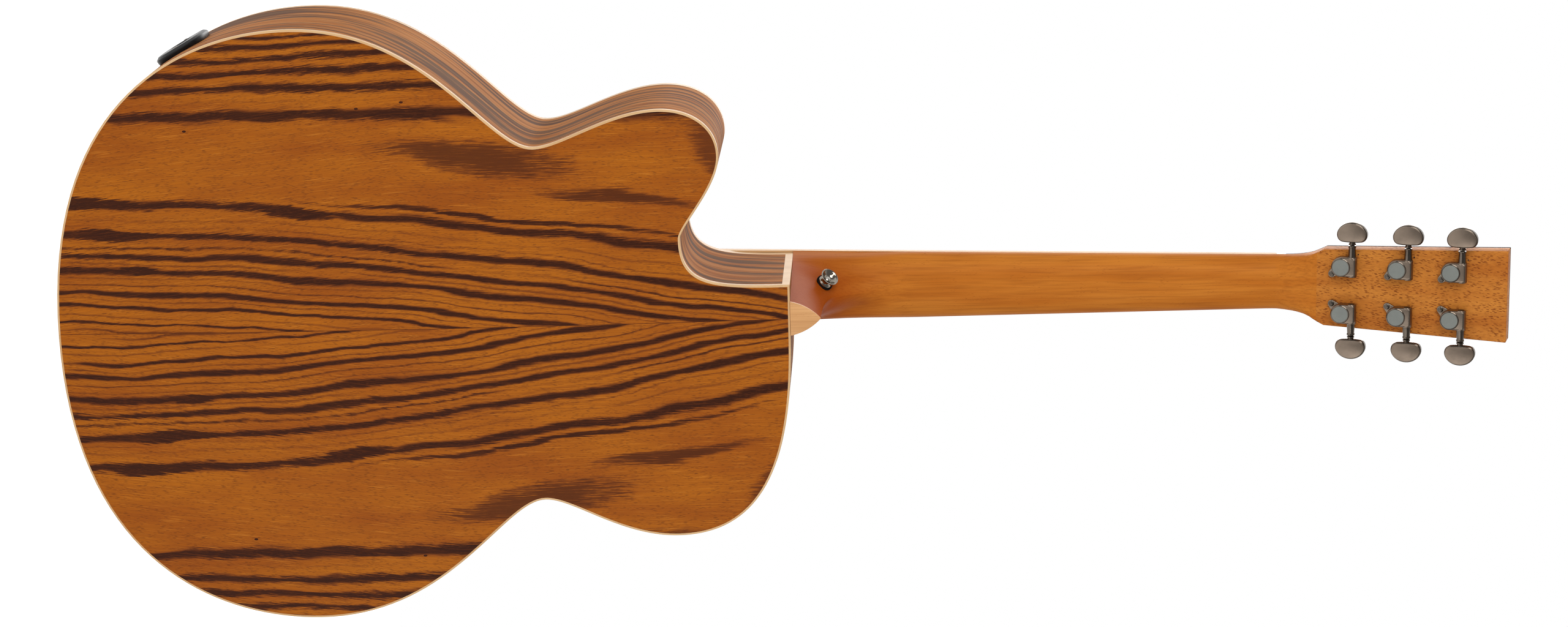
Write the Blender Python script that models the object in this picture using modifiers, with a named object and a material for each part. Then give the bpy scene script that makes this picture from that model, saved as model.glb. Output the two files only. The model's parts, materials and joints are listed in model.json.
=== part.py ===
"""Six-string jumbo flat-top guitar with one cutaway, a pickup and a side output jack.

Metres, +Z from the tail to the headstock, soundboard facing -Y, cutaway side at +X.
The origin is where a hanger's yoke holds the neck, just above the nut.
"""
import math

import bmesh
import bpy
from mathutils import Matrix, Vector

MM = 0.001
GAP = 0.3 * MM

# Scale and neck
SCALE_LENGTH = 650 * MM
FRETS = 20
FRETS_TO_BODY = 14
NUT_WIDTH = 41 * MM
TWELFTH_FRET_WIDTH = 51.9 * MM
NECK_SET = math.radians(1.35)
NECK_DEPTH_AT_NUT = 15.2 * MM
NECK_DEPTH_AT_HEEL = 18.0 * MM
FRETBOARD_THICKNESS = 6.0 * MM
FRETBOARD_ARCH = 0.9 * MM
FRETBOARD_BINDING = 1.5 * MM

# Body
BODY_LENGTH = 527 * MM
LOWER_BOUT = 218 * MM
WAIST = 130.5 * MM
UPPER_BOUT = 161 * MM
HORN = 155.3 * MM
CORNER_X = 25.2 * MM
HEEL_SIDE_DEPTH = 107 * MM
TAIL_SIDE_DEPTH = 124 * MM
BACK_DOME_RADIUS = 5.1
SOUNDBOARD_THICKNESS = 2.8 * MM
BACK_THICKNESS = 2.8 * MM
SIDE_THICKNESS = 2.4 * MM
BINDING_WIDTH = 2.2 * MM
SOUNDBOARD_BINDING_HEIGHT = 6.5 * MM
BACK_BINDING_HEIGHT = 4.2 * MM
LINING_THICKNESS = 5.3 * MM
LINING_HEIGHT = 12 * MM
SOUND_HOLE_RADIUS = 50 * MM
ROSETTE_INNER = 55.7 * MM
ROSETTE_OUTER = 62.0 * MM

# Heel
HEEL_CAP_HALF_WIDTH = 12.5 * MM
HEEL_CAP_LENGTH = 22 * MM
ARCH_LEAN = 0.345
HEEL_CAP_THICKNESS = 2.4 * MM
HEEL_BUTTON_Z = 23.4 * MM
HEEL_BUTTON_Y = 38.7 * MM

# Tail strap button and output jack, from the soundboard's face
TAIL_BUTTON_Y = 62 * MM
JACK_Y = 58 * MM
JACK_SHARE = 0.63

# Headstock, along its own face from the nut
HEADSTOCK_PITCH = math.radians(15.8)
HEADSTOCK_LENGTH = 171 * MM
HEADSTOCK_THICKNESS = 13.0 * MM
VENEER_THICKNESS = 1.7 * MM
SCARF_JOINT = 32.2 * MM
HEADSTOCK_CORNER = 37.6 * MM
HEADSTOCK_CORNER_HALF = 28.8 * MM
HEADSTOCK_TIP_HALF = 34.2 * MM

# Tuning machines
POST_ROWS = 17.7 * MM
POST_PLACES = (51.1 * MM, 92.0 * MM, 131.0 * MM)
SHAFT_OFFSET = 7.7 * MM
SHAFT_HEIGHT = 4.7 * MM
BARREL_RADIUS = 4.9 * MM
POST_RADIUS = 3.1 * MM
POST_WAIST_HEIGHT = 23.4 * MM
HOUSING_HEIGHT = 8.8 * MM

# Strings, from the lowest to the highest
STRING_DIAMETERS = (1.35 * MM, 1.07 * MM, 0.81 * MM, 0.61 * MM, 0.5 * MM, 0.5 * MM)
NUT_SPREAD = 36 * MM
BRIDGE_SPREAD = 54 * MM
SADDLE_SETBACK = 2 * MM
SADDLE_TOP = 16.5 * MM
BRIDGE_THICKNESS = 11 * MM

# Places along Z that follow from the sizes above
NUT_Z = -18 * MM
NUT_TO_BODY = SCALE_LENGTH * (1 - 2 ** (-FRETS_TO_BODY / 12))
JOINT_Z = NUT_Z - NUT_TO_BODY * math.cos(NECK_SET)
TAIL_Z = JOINT_Z - BODY_LENGTH
SADDLE_Z = JOINT_Z + NUT_TO_BODY - SCALE_LENGTH - SADDLE_SETBACK
SOUND_HOLE_Z = JOINT_Z - 152 * MM
FRETBOARD_END_Z = JOINT_Z + NUT_TO_BODY - SCALE_LENGTH * (1 - 2 ** (-FRETS / 12)) - 4 * MM
DOME_CENTRE_Z = JOINT_Z - 266 * MM
OUTLINE_STEPS = 9


def clear_scene():
    """Remove every object of the open scene."""
    for old in list(bpy.data.objects):
        bpy.data.objects.remove(old, do_unlink=True)


def collection(name):
    """A new collection in the scene."""
    made = bpy.data.collections.new(name)
    bpy.context.scene.collection.children.link(made)
    return made


def finish(name, colour, roughness, metallic=0.0):
    """A Principled material."""
    made = bpy.data.materials.new(name)
    made.use_nodes = True
    shader = made.node_tree.nodes["Principled BSDF"]
    shader.inputs["Base Color"].default_value = (*colour, 1.0)
    shader.inputs["Roughness"].default_value = roughness
    shader.inputs["Metallic"].default_value = metallic
    return made


clear_scene()
GUITAR = collection("jumbo_guitar")
CUTTERS = collection("cutters")
STRIPED = finish("striped_tonewood", (0.40, 0.14, 0.02), 0.35)
SPRUCE = finish("spruce", (0.80, 0.58, 0.30), 0.4)
MAPLE = finish("pale_maple", (0.82, 0.62, 0.38), 0.4)
NECK_WOOD = finish("neck_wood", (0.44, 0.13, 0.025), 0.35)
DARK_WOOD = finish("dark_fretboard_wood", (0.04, 0.02, 0.012), 0.5)
BONE = finish("bone", (0.85, 0.82, 0.72), 0.4)
SMOKED = finish("smoked_chrome", (0.20, 0.17, 0.14), 0.25, 1.0)
NICKEL = finish("nickel", (0.62, 0.58, 0.52), 0.2, 1.0)
STRING_METAL = finish("string_metal", (0.6, 0.5, 0.36), 0.3, 1.0)
FELT = finish("black_felt", (0.01, 0.01, 0.01), 0.95)
BLACK = finish("black_plastic", (0.012, 0.012, 0.013), 0.35)


def smoothstep(low, high, value):
    """0 below low, 1 above high, smooth between."""
    t = min(max((value - low) / (high - low), 0.0), 1.0)
    return t * t * (3 - 2 * t)


def add_object(name, mesh, material, place=None, home=None):
    """Link a mesh as one object at a matrix."""
    made = bpy.data.objects.new(name, mesh)
    (home or GUITAR).objects.link(made)
    made.matrix_world = place or Matrix.Identity(4)
    if material:
        mesh.materials.append(material)
    return made


def soften(made, degrees=35):
    """Smooth shading with sharp edges kept."""
    made.data.shade_smooth()
    made.data.set_sharp_from_angle(angle=math.radians(degrees))
    return made


def mesh_from(name, build):
    """A mesh made by one bmesh function, with its faces turned outwards."""
    bm = bmesh.new()
    build(bm)
    bmesh.ops.remove_doubles(bm, verts=bm.verts, dist=1e-6)
    bmesh.ops.recalc_face_normals(bm, faces=bm.faces)
    mesh = bpy.data.meshes.new(name)
    bm.to_mesh(mesh)
    bm.free()
    return mesh


def box(name, low, high, material, place=None, home=None):
    """A box between two corners."""
    def build(bm):
        middle = (Vector(low) + Vector(high)) / 2
        size = Vector(high) - Vector(low)
        shape = Matrix.Translation(middle) @ Matrix.Diagonal((*size, 1.0))
        bmesh.ops.create_cube(bm, size=1.0, matrix=shape)
    return add_object(name, mesh_from(name, build), material, place, home)


def add_cylinder(bm, radius, start, end, sides, end_radius=None):
    """A capped cylinder or cone between two points, in an open bmesh."""
    start, end = Vector(start), Vector(end)
    turn = (end - start).to_track_quat('Z', 'Y').to_matrix().to_4x4()
    shape = Matrix.Translation((start + end) / 2) @ turn
    bmesh.ops.create_cone(bm, cap_ends=True, segments=sides, radius1=radius,
                          radius2=radius if end_radius is None else end_radius,
                          depth=(end - start).length, matrix=shape)


def cylinder(name, radius, start, end, material=None, sides=16, place=None, home=None):
    """A capped cylinder between two points."""
    def build(bm):
        add_cylinder(bm, radius, start, end, sides)
    return add_object(name, mesh_from(name, build), material, place, home)


def turned(name, profile, material, place, sides=20, home=None):
    """A solid of revolution about local Z from (radius, height) points."""
    def build(bm):
        rings = []
        for radius, height in profile:
            angles = [2 * math.pi * k / sides for k in range(sides)]
            rings.append([Vector((radius * math.cos(a), radius * math.sin(a), height)) for a in angles])
        skin_rings(bm, rings)
    return add_object(name, mesh_from(name, build), material, place, home)


def skin_rings(bm, rings):
    """Faces between equal rings of points, with both ends capped."""
    rows = [[bm.verts.new(point) for point in ring] for ring in rings]
    count = len(rows[0])
    for low, high in zip(rows, rows[1:]):
        for k in range(count):
            bm.faces.new((low[k], low[(k + 1) % count], high[(k + 1) % count], high[k]))
    bm.faces.new(rows[0])
    bm.faces.new(list(reversed(rows[-1])))


def loft(name, rings, material, place=None, home=None):
    """A solid skinned over rings of points."""
    def build(bm):
        skin_rings(bm, rings)
    return add_object(name, mesh_from(name, build), material, place, home)


def prism(name, loops, low_y, high_y, material=None, home=None):
    """Flat XZ outlines, holes included, extruded along Y between two depths."""
    curve = bpy.data.curves.new(name, 'CURVE')
    curve.dimensions = '2D'
    curve.fill_mode = 'BOTH'
    curve.extrude = (high_y - low_y) / 2
    for loop in loops:
        spline = curve.splines.new('POLY')
        spline.points.add(len(loop) - 1)
        for point, (x, z) in zip(spline.points, loop):
            point.co = (x, z, 0.0, 1.0)
        spline.use_cyclic_u = True
    made = bpy.data.objects.new(name, curve)
    (home or GUITAR).objects.link(made)
    upright = Matrix.Rotation(math.pi / 2, 4, 'X')
    made.matrix_world = Matrix.Translation((0, (low_y + high_y) / 2, 0)) @ upright
    return curve_to_mesh(made, material, home)


def curve_to_mesh(source, material, home=None):
    """Replace a curve object by its mesh, with the caps welded on."""
    bpy.context.view_layer.update()
    evaluated = source.evaluated_get(bpy.context.evaluated_depsgraph_get())
    mesh = bpy.data.meshes.new_from_object(evaluated)
    bm = bmesh.new()
    bm.from_mesh(mesh)
    bmesh.ops.remove_doubles(bm, verts=bm.verts, dist=1e-6)
    bmesh.ops.recalc_face_normals(bm, faces=bm.faces)
    bm.to_mesh(mesh)
    bm.free()
    name, place = source.name, source.matrix_world.copy()
    bpy.data.objects.remove(source, do_unlink=True)
    mesh.materials.clear()
    return add_object(name, mesh, material, place, home)


def combine(target, tool, operation):
    """A live Boolean of one object with another, which becomes a hidden guide."""
    if tool.name not in CUTTERS.objects:
        CUTTERS.objects.link(tool)
        GUITAR.objects.unlink(tool)
    tool.hide_render = True
    tool.display_type = 'WIRE'
    modifier = target.modifiers.new(operation.lower(), 'BOOLEAN')
    modifier.operation = operation
    modifier.object = tool
    modifier.solver = 'EXACT'
    return target


def bezier(start, end, heading_out, heading_in, handle_out, handle_in, steps):
    """Points of one cubic, without its last point."""
    p0, p3 = Vector(start), Vector(end)
    p1 = p0 + handle_out * Vector((math.cos(heading_out), math.sin(heading_out)))
    p2 = p3 - handle_in * Vector((math.cos(heading_in), math.sin(heading_in)))
    points = []
    for k in range(steps):
        t = k / steps
        s = 1 - t
        points.append(s ** 3 * p0 + 3 * s * s * t * p1 + 3 * s * t * t * p2 + t ** 3 * p3)
    return points


def cubic_path(nodes, steps, scale=MM):
    """Points along nodes of (a, b, heading in, heading out, handle in, handle out)."""
    points = []
    for here, there in zip(nodes, nodes[1:]):
        start = Vector(here[:2]) * scale
        end = Vector(there[:2]) * scale
        points += bezier(start, end, math.radians(here[3]), math.radians(there[2]),
                         here[5] * scale, there[4] * scale, steps)
    points.append(Vector(nodes[-1][:2]) * scale)
    return points


def body_outline(steps=OUTLINE_STEPS):
    """The rim seen from the front, clockwise from the tail, as (x, z)."""
    lower, waist, upper = LOWER_BOUT / MM, WAIST / MM, UPPER_BOUT / MM
    tail = -BODY_LENGTH / MM
    corner = CORNER_X / MM
    bass = [
        (0, tail, 180, 180, 0, 175),
        (-lower, -349, 90, 90, 74, 97),
        (-waist, -180.5, 90, 90, 31, 20),
        (-upper, -84, 90, 90, 42, 45.5),
        (-18, 0, 0, 0, 114.4, 0),
    ]
    treble = [
        (corner, 0, 270, 270, 0, 57),
        (61.2, -77.6, 0, 0, 33.4, 8.9),
        (120.5, -48.8, 0, 0, 22, 21.7),
        (HORN / MM, -91, 270, 270, 23.4, 35.5),
        (waist, -180.5, 270, 270, 20, 31),
        (lower, -349, 270, 270, 97, 74),
        (0, tail, 180, 180, 175, 0),
    ]
    points = cubic_path(bass, steps) + cubic_path(treble, steps)[:-1]
    return [Vector((x, z + JOINT_Z)) for x, z in points]


def inset(loop, distance):
    """A closed clockwise outline moved inwards, with mitred corners."""
    moved = []
    count = len(loop)
    for k, point in enumerate(loop):
        before = (point - loop[k - 1]).normalized()
        after = (loop[(k + 1) % count] - point).normalized()
        first = Vector((before.y, -before.x))
        second = Vector((after.y, -after.x))
        moved.append(point + (first + second) * (distance / (1 + first.dot(second))))
    return moved


def back_y(x, z):
    """Depth of the back's outer face, which tapers towards the heel and is domed."""
    along = (JOINT_Z - z) / BODY_LENGTH
    taper = HEEL_SIDE_DEPTH + (TAIL_SIDE_DEPTH - HEEL_SIDE_DEPTH) * along
    reach = (z - DOME_CENTRE_Z) ** 2 - (JOINT_Z - DOME_CENTRE_Z) ** 2
    return taper - (x * x + reach) / (2 * BACK_DOME_RADIUS)


def glue_y(z):
    """Depth of the plane where neck and fretboard meet."""
    return (z - JOINT_Z) * math.tan(NECK_SET)


def fretboard_half_width(z):
    """Half the neck's width at a height."""
    from_nut = NUT_Z - z
    slope = (TWELFTH_FRET_WIDTH - NUT_WIDTH) / (SCALE_LENGTH / 2)
    return (NUT_WIDTH + slope * from_nut) / 2


OUTLINE = body_outline()


def wall(name, path, closed, front, back, thickness, material):
    """A bent strip that stands on the outline: an open surface with Solidify."""
    def build(bm):
        low = [bm.verts.new((x, front(x, z), z)) for x, z in path]
        high = [bm.verts.new((x, back(x, z), z)) for x, z in path]
        last = len(path) if closed else len(path) - 1
        for k in range(last):
            n = (k + 1) % len(path)
            bm.faces.new((low[k], low[n], high[n], high[k]))
    bm = bmesh.new()
    build(bm)
    mesh = bpy.data.meshes.new(name)
    bm.to_mesh(mesh)
    bm.free()
    made = add_object(name, mesh, material)
    solidify = made.modifiers.new("thickness", 'SOLIDIFY')
    solidify.thickness = thickness
    solidify.offset = -1.0
    solidify.use_even_offset = True
    return made


def domed_plate(name, loop, thickness, material):
    """A plate under the back's dome: a bent grid with Solidify, kept inside an outline."""
    columns, rows = 16, 18
    half = LOWER_BOUT + 10 * MM

    def build(bm):
        grid = []
        for r in range(rows + 1):
            z = TAIL_Z - 10 * MM + (BODY_LENGTH + 20 * MM) * r / rows
            xs = [-half + 2 * half * c / columns for c in range(columns + 1)]
            grid.append([bm.verts.new((x, back_y(x, z), z)) for x in xs])
        for low, high in zip(grid, grid[1:]):
            for c in range(columns):
                bm.faces.new((low[c], high[c], high[c + 1], low[c + 1]))
    bm = bmesh.new()
    build(bm)
    mesh = bpy.data.meshes.new(name)
    bm.to_mesh(mesh)
    bm.free()
    made = add_object(name, mesh, material)
    solidify = made.modifiers.new("thickness", 'SOLIDIFY')
    solidify.thickness = thickness
    solidify.offset = -1.0
    keep = prism(name + "_outline", [loop], 60 * MM, 160 * MM)
    return combine(made, keep, 'INTERSECT')


def circle(radius, centre_z, sides):
    """Points of a circle on the centre line."""
    angles = [2 * math.pi * k / sides for k in range(sides)]
    return [Vector((radius * math.cos(a), centre_z + radius * math.sin(a))) for a in angles]


def soundboard():
    """Spruce top with its sound hole, the rosette channel and the rosette."""
    rim = inset(OUTLINE, BINDING_WIDTH + GAP)
    hole = circle(SOUND_HOLE_RADIUS, SOUND_HOLE_Z, 40)
    board = prism("soundboard", [rim, hole], 0, SOUNDBOARD_THICKNESS, SPRUCE)
    channel = prism("rosette_channel", [circle(ROSETTE_OUTER + GAP, SOUND_HOLE_Z, 40),
                                        circle(ROSETTE_INNER - GAP, SOUND_HOLE_Z, 40)], -2 * MM, 1.2 * MM)
    combine(board, channel, 'DIFFERENCE')
    rings = [circle(ROSETTE_OUTER, SOUND_HOLE_Z, 40), circle(ROSETTE_INNER, SOUND_HOLE_Z, 40)]
    prism("rosette", rings, 0, 0.9 * MM, DARK_WOOD)


def rim_parts():
    """Sides, bindings, end strips and linings."""
    seam = 5.0 * MM
    strip = 5.4 * MM
    back_edge = BACK_BINDING_HEIGHT + GAP

    def side_front(x, z):
        return SOUNDBOARD_BINDING_HEIGHT + GAP

    def side_back(x, z):
        return back_y(x, z) - back_edge

    corner = next(k for k, p in enumerate(OUTLINE) if abs(p.x - CORNER_X) < MM and abs(p.y - JOINT_Z) < MM)
    end = Vector((CORNER_X - SIDE_THICKNESS - GAP, JOINT_Z))
    tail = Vector((-seam / 2 - GAP, TAIL_Z))
    bass_path = [tail] + OUTLINE[1:corner] + [end]
    treble_path = [Vector((CORNER_X, JOINT_Z - strip - GAP))]
    treble_path += [p for p in OUTLINE[corner + 1:] if p.y < JOINT_Z - strip - 2 * GAP]
    treble_path += [Vector((seam / 2 + GAP, TAIL_Z))]
    wall("bass_side", bass_path, False, side_front, side_back, SIDE_THICKNESS, STRIPED)
    wall("treble_side", treble_path, False, side_front, side_back, SIDE_THICKNESS, STRIPED)
    tail_path = [Vector((seam / 2, TAIL_Z)), Vector((-seam / 2, TAIL_Z))]
    wall("tail_strip", tail_path, False, side_front, side_back, SIDE_THICKNESS, MAPLE)
    cut_path = [Vector((CORNER_X, JOINT_Z)), Vector((CORNER_X, JOINT_Z - strip))]
    wall("cutaway_strip", cut_path, False, side_front, side_back, SIDE_THICKNESS, MAPLE)
    wall("soundboard_binding", OUTLINE, True, lambda x, z: 0.0,
         lambda x, z: SOUNDBOARD_BINDING_HEIGHT, BINDING_WIDTH, MAPLE)
    wall("back_binding", OUTLINE, True, lambda x, z: back_y(x, z) - BACK_BINDING_HEIGHT,
         back_y, BINDING_WIDTH, MAPLE)
    lining_start = 62 * MM
    inner = inset(OUTLINE, SIDE_THICKNESS + GAP)
    lining_path = [p for p in inner[corner:] if p.y < JOINT_Z - lining_start]
    lining_path += [p for p in inner[:corner]
                    if p.y < JOINT_Z - 6 * MM and p.x < -34 * MM or p.y < DOME_CENTRE_Z]
    front_gap = SOUNDBOARD_THICKNESS + GAP
    back_gap = BACK_THICKNESS + GAP
    wall("soundboard_lining", lining_path, False, lambda x, z: front_gap,
         lambda x, z: front_gap + LINING_HEIGHT, LINING_THICKNESS, SPRUCE)
    wall("back_lining", lining_path, False, lambda x, z: back_y(x, z) - back_gap - LINING_HEIGHT,
         lambda x, z: back_y(x, z) - back_gap, LINING_THICKNESS, SPRUCE)


def blocks():
    """The neck block and the tail block between the plates."""
    front = SOUNDBOARD_THICKNESS + GAP
    wall_gap = SIDE_THICKNESS + GAP
    neck_back = back_y(30 * MM, JOINT_Z) - BACK_THICKNESS - 2 * GAP
    box("neck_block", (-26 * MM, front, JOINT_Z - 56 * MM),
        (19 * MM, neck_back, JOINT_Z - wall_gap - 0.7 * MM), NECK_WOOD)
    clear = LINING_HEIGHT + 2 * GAP
    tail_back = back_y(40 * MM, TAIL_Z + 22 * MM) - BACK_THICKNESS - clear - GAP
    box("tail_block", (-38 * MM, front + clear, TAIL_Z + 22 * MM - 14 * MM),
        (38 * MM, tail_back, TAIL_Z + 22 * MM), NECK_WOOD)


def dome_bar(name, start, end, width, height):
    """A brace glued under the back, from start to end as (x, z)."""
    start, end = Vector(start), Vector(end)
    across = Vector((-(end - start).y, (end - start).x)).normalized() * width / 2
    steps = 8
    rings = []
    for k in range(steps + 1):
        middle = start.lerp(end, k / steps)
        near, far = middle - across, middle + across
        tops = [back_y(p.x, p.y) - BACK_THICKNESS - GAP for p in (near, far)]
        foot = min(tops) - height * (0.45 if k in (0, steps) else 1.0)
        rings.append([Vector((near.x, tops[0], near.y)), Vector((far.x, tops[1], far.y)),
                      Vector((far.x, foot, far.y)), Vector((near.x, foot, near.y))])
    return loft(name, rings, SPRUCE)


def flat_bar(name, start, end, width, height):
    """A brace glued under the soundboard, from start to end as (x, z)."""
    start, end = Vector(start), Vector(end)
    across = Vector((-(end - start).y, (end - start).x)).normalized() * width / 2
    front = SOUNDBOARD_THICKNESS + GAP
    steps = 4
    rings = []
    for k in range(steps + 1):
        middle = start.lerp(end, k / steps)
        near, far = middle - across, middle + across
        foot = front + height * (0.4 if k in (0, steps) else 1.0)
        rings.append([Vector((near.x, front, near.y)), Vector((far.x, front, far.y)),
                      Vector((far.x, foot, far.y)), Vector((near.x, foot, near.y))])
    return loft(name, rings, SPRUCE)


def bracing():
    """X bracing under the soundboard, ladder bracing and centre strip under the back."""
    def spot(x, down):
        return Vector((x * MM, JOINT_Z - down * MM))
    crossed = flat_bar("soundboard_bracing", spot(100, 140), spot(-186, 398), 7 * MM, 15 * MM)
    others = [
        ("x_brace_other", spot(-100, 140), spot(186, 398), 6.8 * MM, 14.8 * MM),
        ("tone_bar_upper", spot(-78, 300), spot(62, 400), 5.6 * MM, 10 * MM),
        ("tone_bar_lower", spot(-115, 334), spot(36, 454), 5.4 * MM, 9.8 * MM),
    ]
    for name, start, end, width, height in others:
        combine(crossed, flat_bar(name, start, end, width, height), 'UNION')
    strip = dome_bar("back_bracing", spot(0, 64), spot(0, 500), 14 * MM, 2.6 * MM)
    ladder = [
        ("ladder_1", 92, 132), ("ladder_2", 190, 116), ("ladder_3", 292, 186), ("ladder_4", 400, 192),
    ]
    for name, down, half in ladder:
        combine(strip, dome_bar(name, spot(-half, down), spot(half, down), 8 * MM, 15 * MM), 'UNION')
    box("bridge_plate", (-46 * MM, SOUNDBOARD_THICKNESS + GAP, SADDLE_Z - 12 * MM),
        (46 * MM, SOUNDBOARD_THICKNESS + GAP + 2.4 * MM, SADDLE_Z + 12 * MM), MAPLE)


HEEL_SEAT_Y = HEEL_SIDE_DEPTH - HEEL_CAP_THICKNESS - GAP
BLEND_END = 96 * MM


def neck_depth(z):
    """Thickness of the neck below its glue plane, between the heel's blend and the nut."""
    t = (z - JOINT_Z) / (NUT_Z - JOINT_Z)
    return NECK_DEPTH_AT_HEEL + (NECK_DEPTH_AT_NUT - NECK_DEPTH_AT_HEEL) * t


def heel_spine():
    """The heel's ridge below the cap's tip as (height above the joint, depth)."""
    tip = (HEEL_CAP_LENGTH / MM, HEEL_SEAT_Y / MM)
    end_y = (glue_y(JOINT_Z + BLEND_END) + neck_depth(JOINT_Z + BLEND_END)) / MM
    nodes = [
        (tip[0], tip[1], -90, -89, 0, 42),
        (34, 38.5, -24, -24, 9, 18),
        (BLEND_END / MM, end_y, 1, 1, 30, 0),
    ]
    return cubic_path(nodes, 7)


SPINE = heel_spine()
SPINE_LOW = min(SPINE, key=lambda p: p.y)
# Above its lowest point the ridge climbs by this many mm per mm, and per mm squared
SPINE_CLIMB = (12, 6)


def spine_up(y):
    """Height of the heel's ridge at a depth."""
    if y >= SPINE[0].y:
        return SPINE[0].x
    for high, low in zip(SPINE, SPINE[1:]):
        if low.y <= y:
            return high.x + (low.x - high.x) * (high.y - y) / (high.y - low.y)
    above = (SPINE_LOW.y - y) / MM
    return SPINE_LOW.x + (SPINE_CLIMB[0] * above + SPINE_CLIMB[1] * above ** 2) * MM


def arch_half(wide, tall, up):
    """Half-width of a pointed arch at a height; its arcs lean in from the base."""
    if up >= tall:
        return 0.0
    centre = (wide ** 2 - (1 + 2 * ARCH_LEAN) * tall ** 2) / (2 * wide)
    drop = ARCH_LEAN * tall
    radius = math.hypot(wide - centre, drop)
    return max(math.sqrt(max(radius ** 2 - (up + drop) ** 2, 0.0)) + centre, 0.0)


def neck_half(up, rise, depth, z):
    """Half-width of the neck's section at a share of its depth, 0 at the glue plane."""
    wide = fretboard_half_width(z) - 0.1 * MM
    y = glue_y(z) + rise * depth
    share = min(max(y / HEEL_SEAT_Y, 0.0), 1.0)
    foot = HEEL_CAP_HALF_WIDTH + (wide - HEEL_CAP_HALF_WIDTH) * (1 - share ** 0.9)
    prow = arch_half(foot, spine_up(y), up)
    rounded = wide * max(1 - rise ** 2.25, 0.0) ** (1 / 2.25)
    blend = smoothstep(40 * MM, 94 * MM, up)
    return max(prow + (rounded - prow) * blend, 0.5 * MM)


def neck_ring(z, end_y, up):
    """One section of the neck or heel, in a plane of constant height."""
    top = glue_y(z)
    depth = end_y - top
    shallow = min(depth, NECK_DEPTH_AT_NUT)
    steps = 9
    right = []
    for k in range(steps + 1):
        share = k / steps
        drop = shallow * math.sin(math.pi / 2 * share) + (depth - shallow) * share ** 2.5
        right.append((neck_half(up, drop / depth, depth, z), top + drop))
    left = [(-x, y) for x, y in right]
    return [Vector((x, y, z)) for x, y in left + list(reversed(right))]


HEAD_CORNER = Vector((0, glue_y(NUT_Z), NUT_Z))
HEAD_TILT = NECK_SET + HEADSTOCK_PITCH
HEAD = Matrix.Translation(HEAD_CORNER) @ Matrix.Rotation(-HEAD_TILT, 4, 'X')


# The flare from nut to corner as (distance from the nut, half-width), in mm
HEAD_FLARE = [
    (0, 20.6), (6, 20.8), (12, 21.2), (18, 21.9), (23.7, 22.9), (28, 24.2), (32.2, 26.1), (37.6, 28.8),
]


def head_half_width(along):
    """Half the headstock's width at a distance from the nut."""
    along = along / MM
    for (a, wa), (b, wb) in zip(HEAD_FLARE, HEAD_FLARE[1:]):
        if along <= b:
            return (wa + (wb - wa) * (along - a) / (b - a)) * MM
    share = (along * MM - HEADSTOCK_CORNER) / (HEADSTOCK_LENGTH - HEADSTOCK_CORNER)
    return HEADSTOCK_CORNER_HALF + (HEADSTOCK_TIP_HALF - HEADSTOCK_CORNER_HALF) * share


def head_ring(along, tilt, depth, power):
    """One section of the transition from neck to headstock."""
    lean = Matrix.Translation(HEAD_CORNER) @ Matrix.Rotation(-NECK_SET - tilt, 4, 'X')
    face = Matrix.Rotation(-HEAD_TILT, 4, 'X') @ Vector((0, 0, along)) if along > 0 else \
        Matrix.Rotation(-NECK_SET, 4, 'X') @ Vector((0, 0, along))
    steps = 9
    right = []
    for k in range(steps + 1):
        rise = math.sin(math.pi / 2 * k / steps)
        half = head_half_width(max(along, 0)) * max(1 - rise ** power, 0.0) ** (1 / power)
        right.append((max(half, 0.5 * MM), depth * rise))
    ring = [(-x, y) for x, y in right] + list(reversed(right))
    turn = lean.to_3x3()
    return [HEAD_CORNER + face + turn @ Vector((x, y, 0)) for x, y in ring]


def neck():
    """Neck with its heel and the start of the headstock, the heel cap and the truss rod."""
    rings = []
    for up in (0.3, 5, 10, 14.5, 18, 20.2):
        z = JOINT_Z + up * MM
        rings.append(neck_ring(z, HEEL_SEAT_Y, up * MM))
    for up, depth in SPINE:
        rings.append(neck_ring(JOINT_Z + up, depth, up))
    for k in range(1, 7):
        z = JOINT_Z + BLEND_END + (NUT_Z - 12 * MM - JOINT_Z - BLEND_END) * k / 6
        rings.append(neck_ring(z, glue_y(z) + neck_depth(z), z - JOINT_Z))
    steps = [(-3, 2.5, 14.9, 2.3), (4, 7, 14.6, 2.45), (10, 11, 14.1, 2.7), (16, 14.5, 13.6, 3.1),
             (22, 15.8, 13.2, 4.2), (27, 15.8, 13.05, 7), (SCARF_JOINT / MM, 15.8, 13.0, 14)]
    for along, tilt, depth, power in steps:
        rings.append(head_ring(along * MM, math.radians(tilt), depth * MM, power))
    made = loft("neck", rings, NECK_WOOD)
    rod_end = 12 * MM
    channel = []
    rod = []
    for z in (JOINT_Z - 5 * MM, NUT_Z - rod_end + 2 * MM):
        channel.append(rod_ring(z, 3.3 * MM, -3 * MM, 10 * MM))
    for z in (JOINT_Z + 1 * MM, NUT_Z - rod_end):
        rod.append(rod_ring(z, 3.0 * MM, 0.6 * MM, 9.6 * MM))
    combine(made, loft("truss_rod_channel", channel, None), 'DIFFERENCE')
    loft("truss_rod", rod, SMOKED)
    soften(made, 40)
    heights = [HEEL_CAP_LENGTH * k / 8 for k in range(8)]
    cap = [Vector((arch_half(HEEL_CAP_HALF_WIDTH, HEEL_CAP_LENGTH, up), JOINT_Z + up + GAP))
           for up in heights]
    tip = [Vector((0, JOINT_Z + HEEL_CAP_LENGTH))]
    loop = cap + tip + [Vector((-p.x, p.y)) for p in reversed(cap)]
    prism("heel_cap", [loop], HEEL_SEAT_Y + GAP, HEEL_SIDE_DEPTH, MAPLE)


def rod_ring(z, half, low, high):
    """A rectangle below the glue plane at a height."""
    top = glue_y(z)
    return [Vector((-half, top + low, z)), Vector((half, top + low, z)),
            Vector((half, top + high, z)), Vector((-half, top + high, z))]


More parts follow.
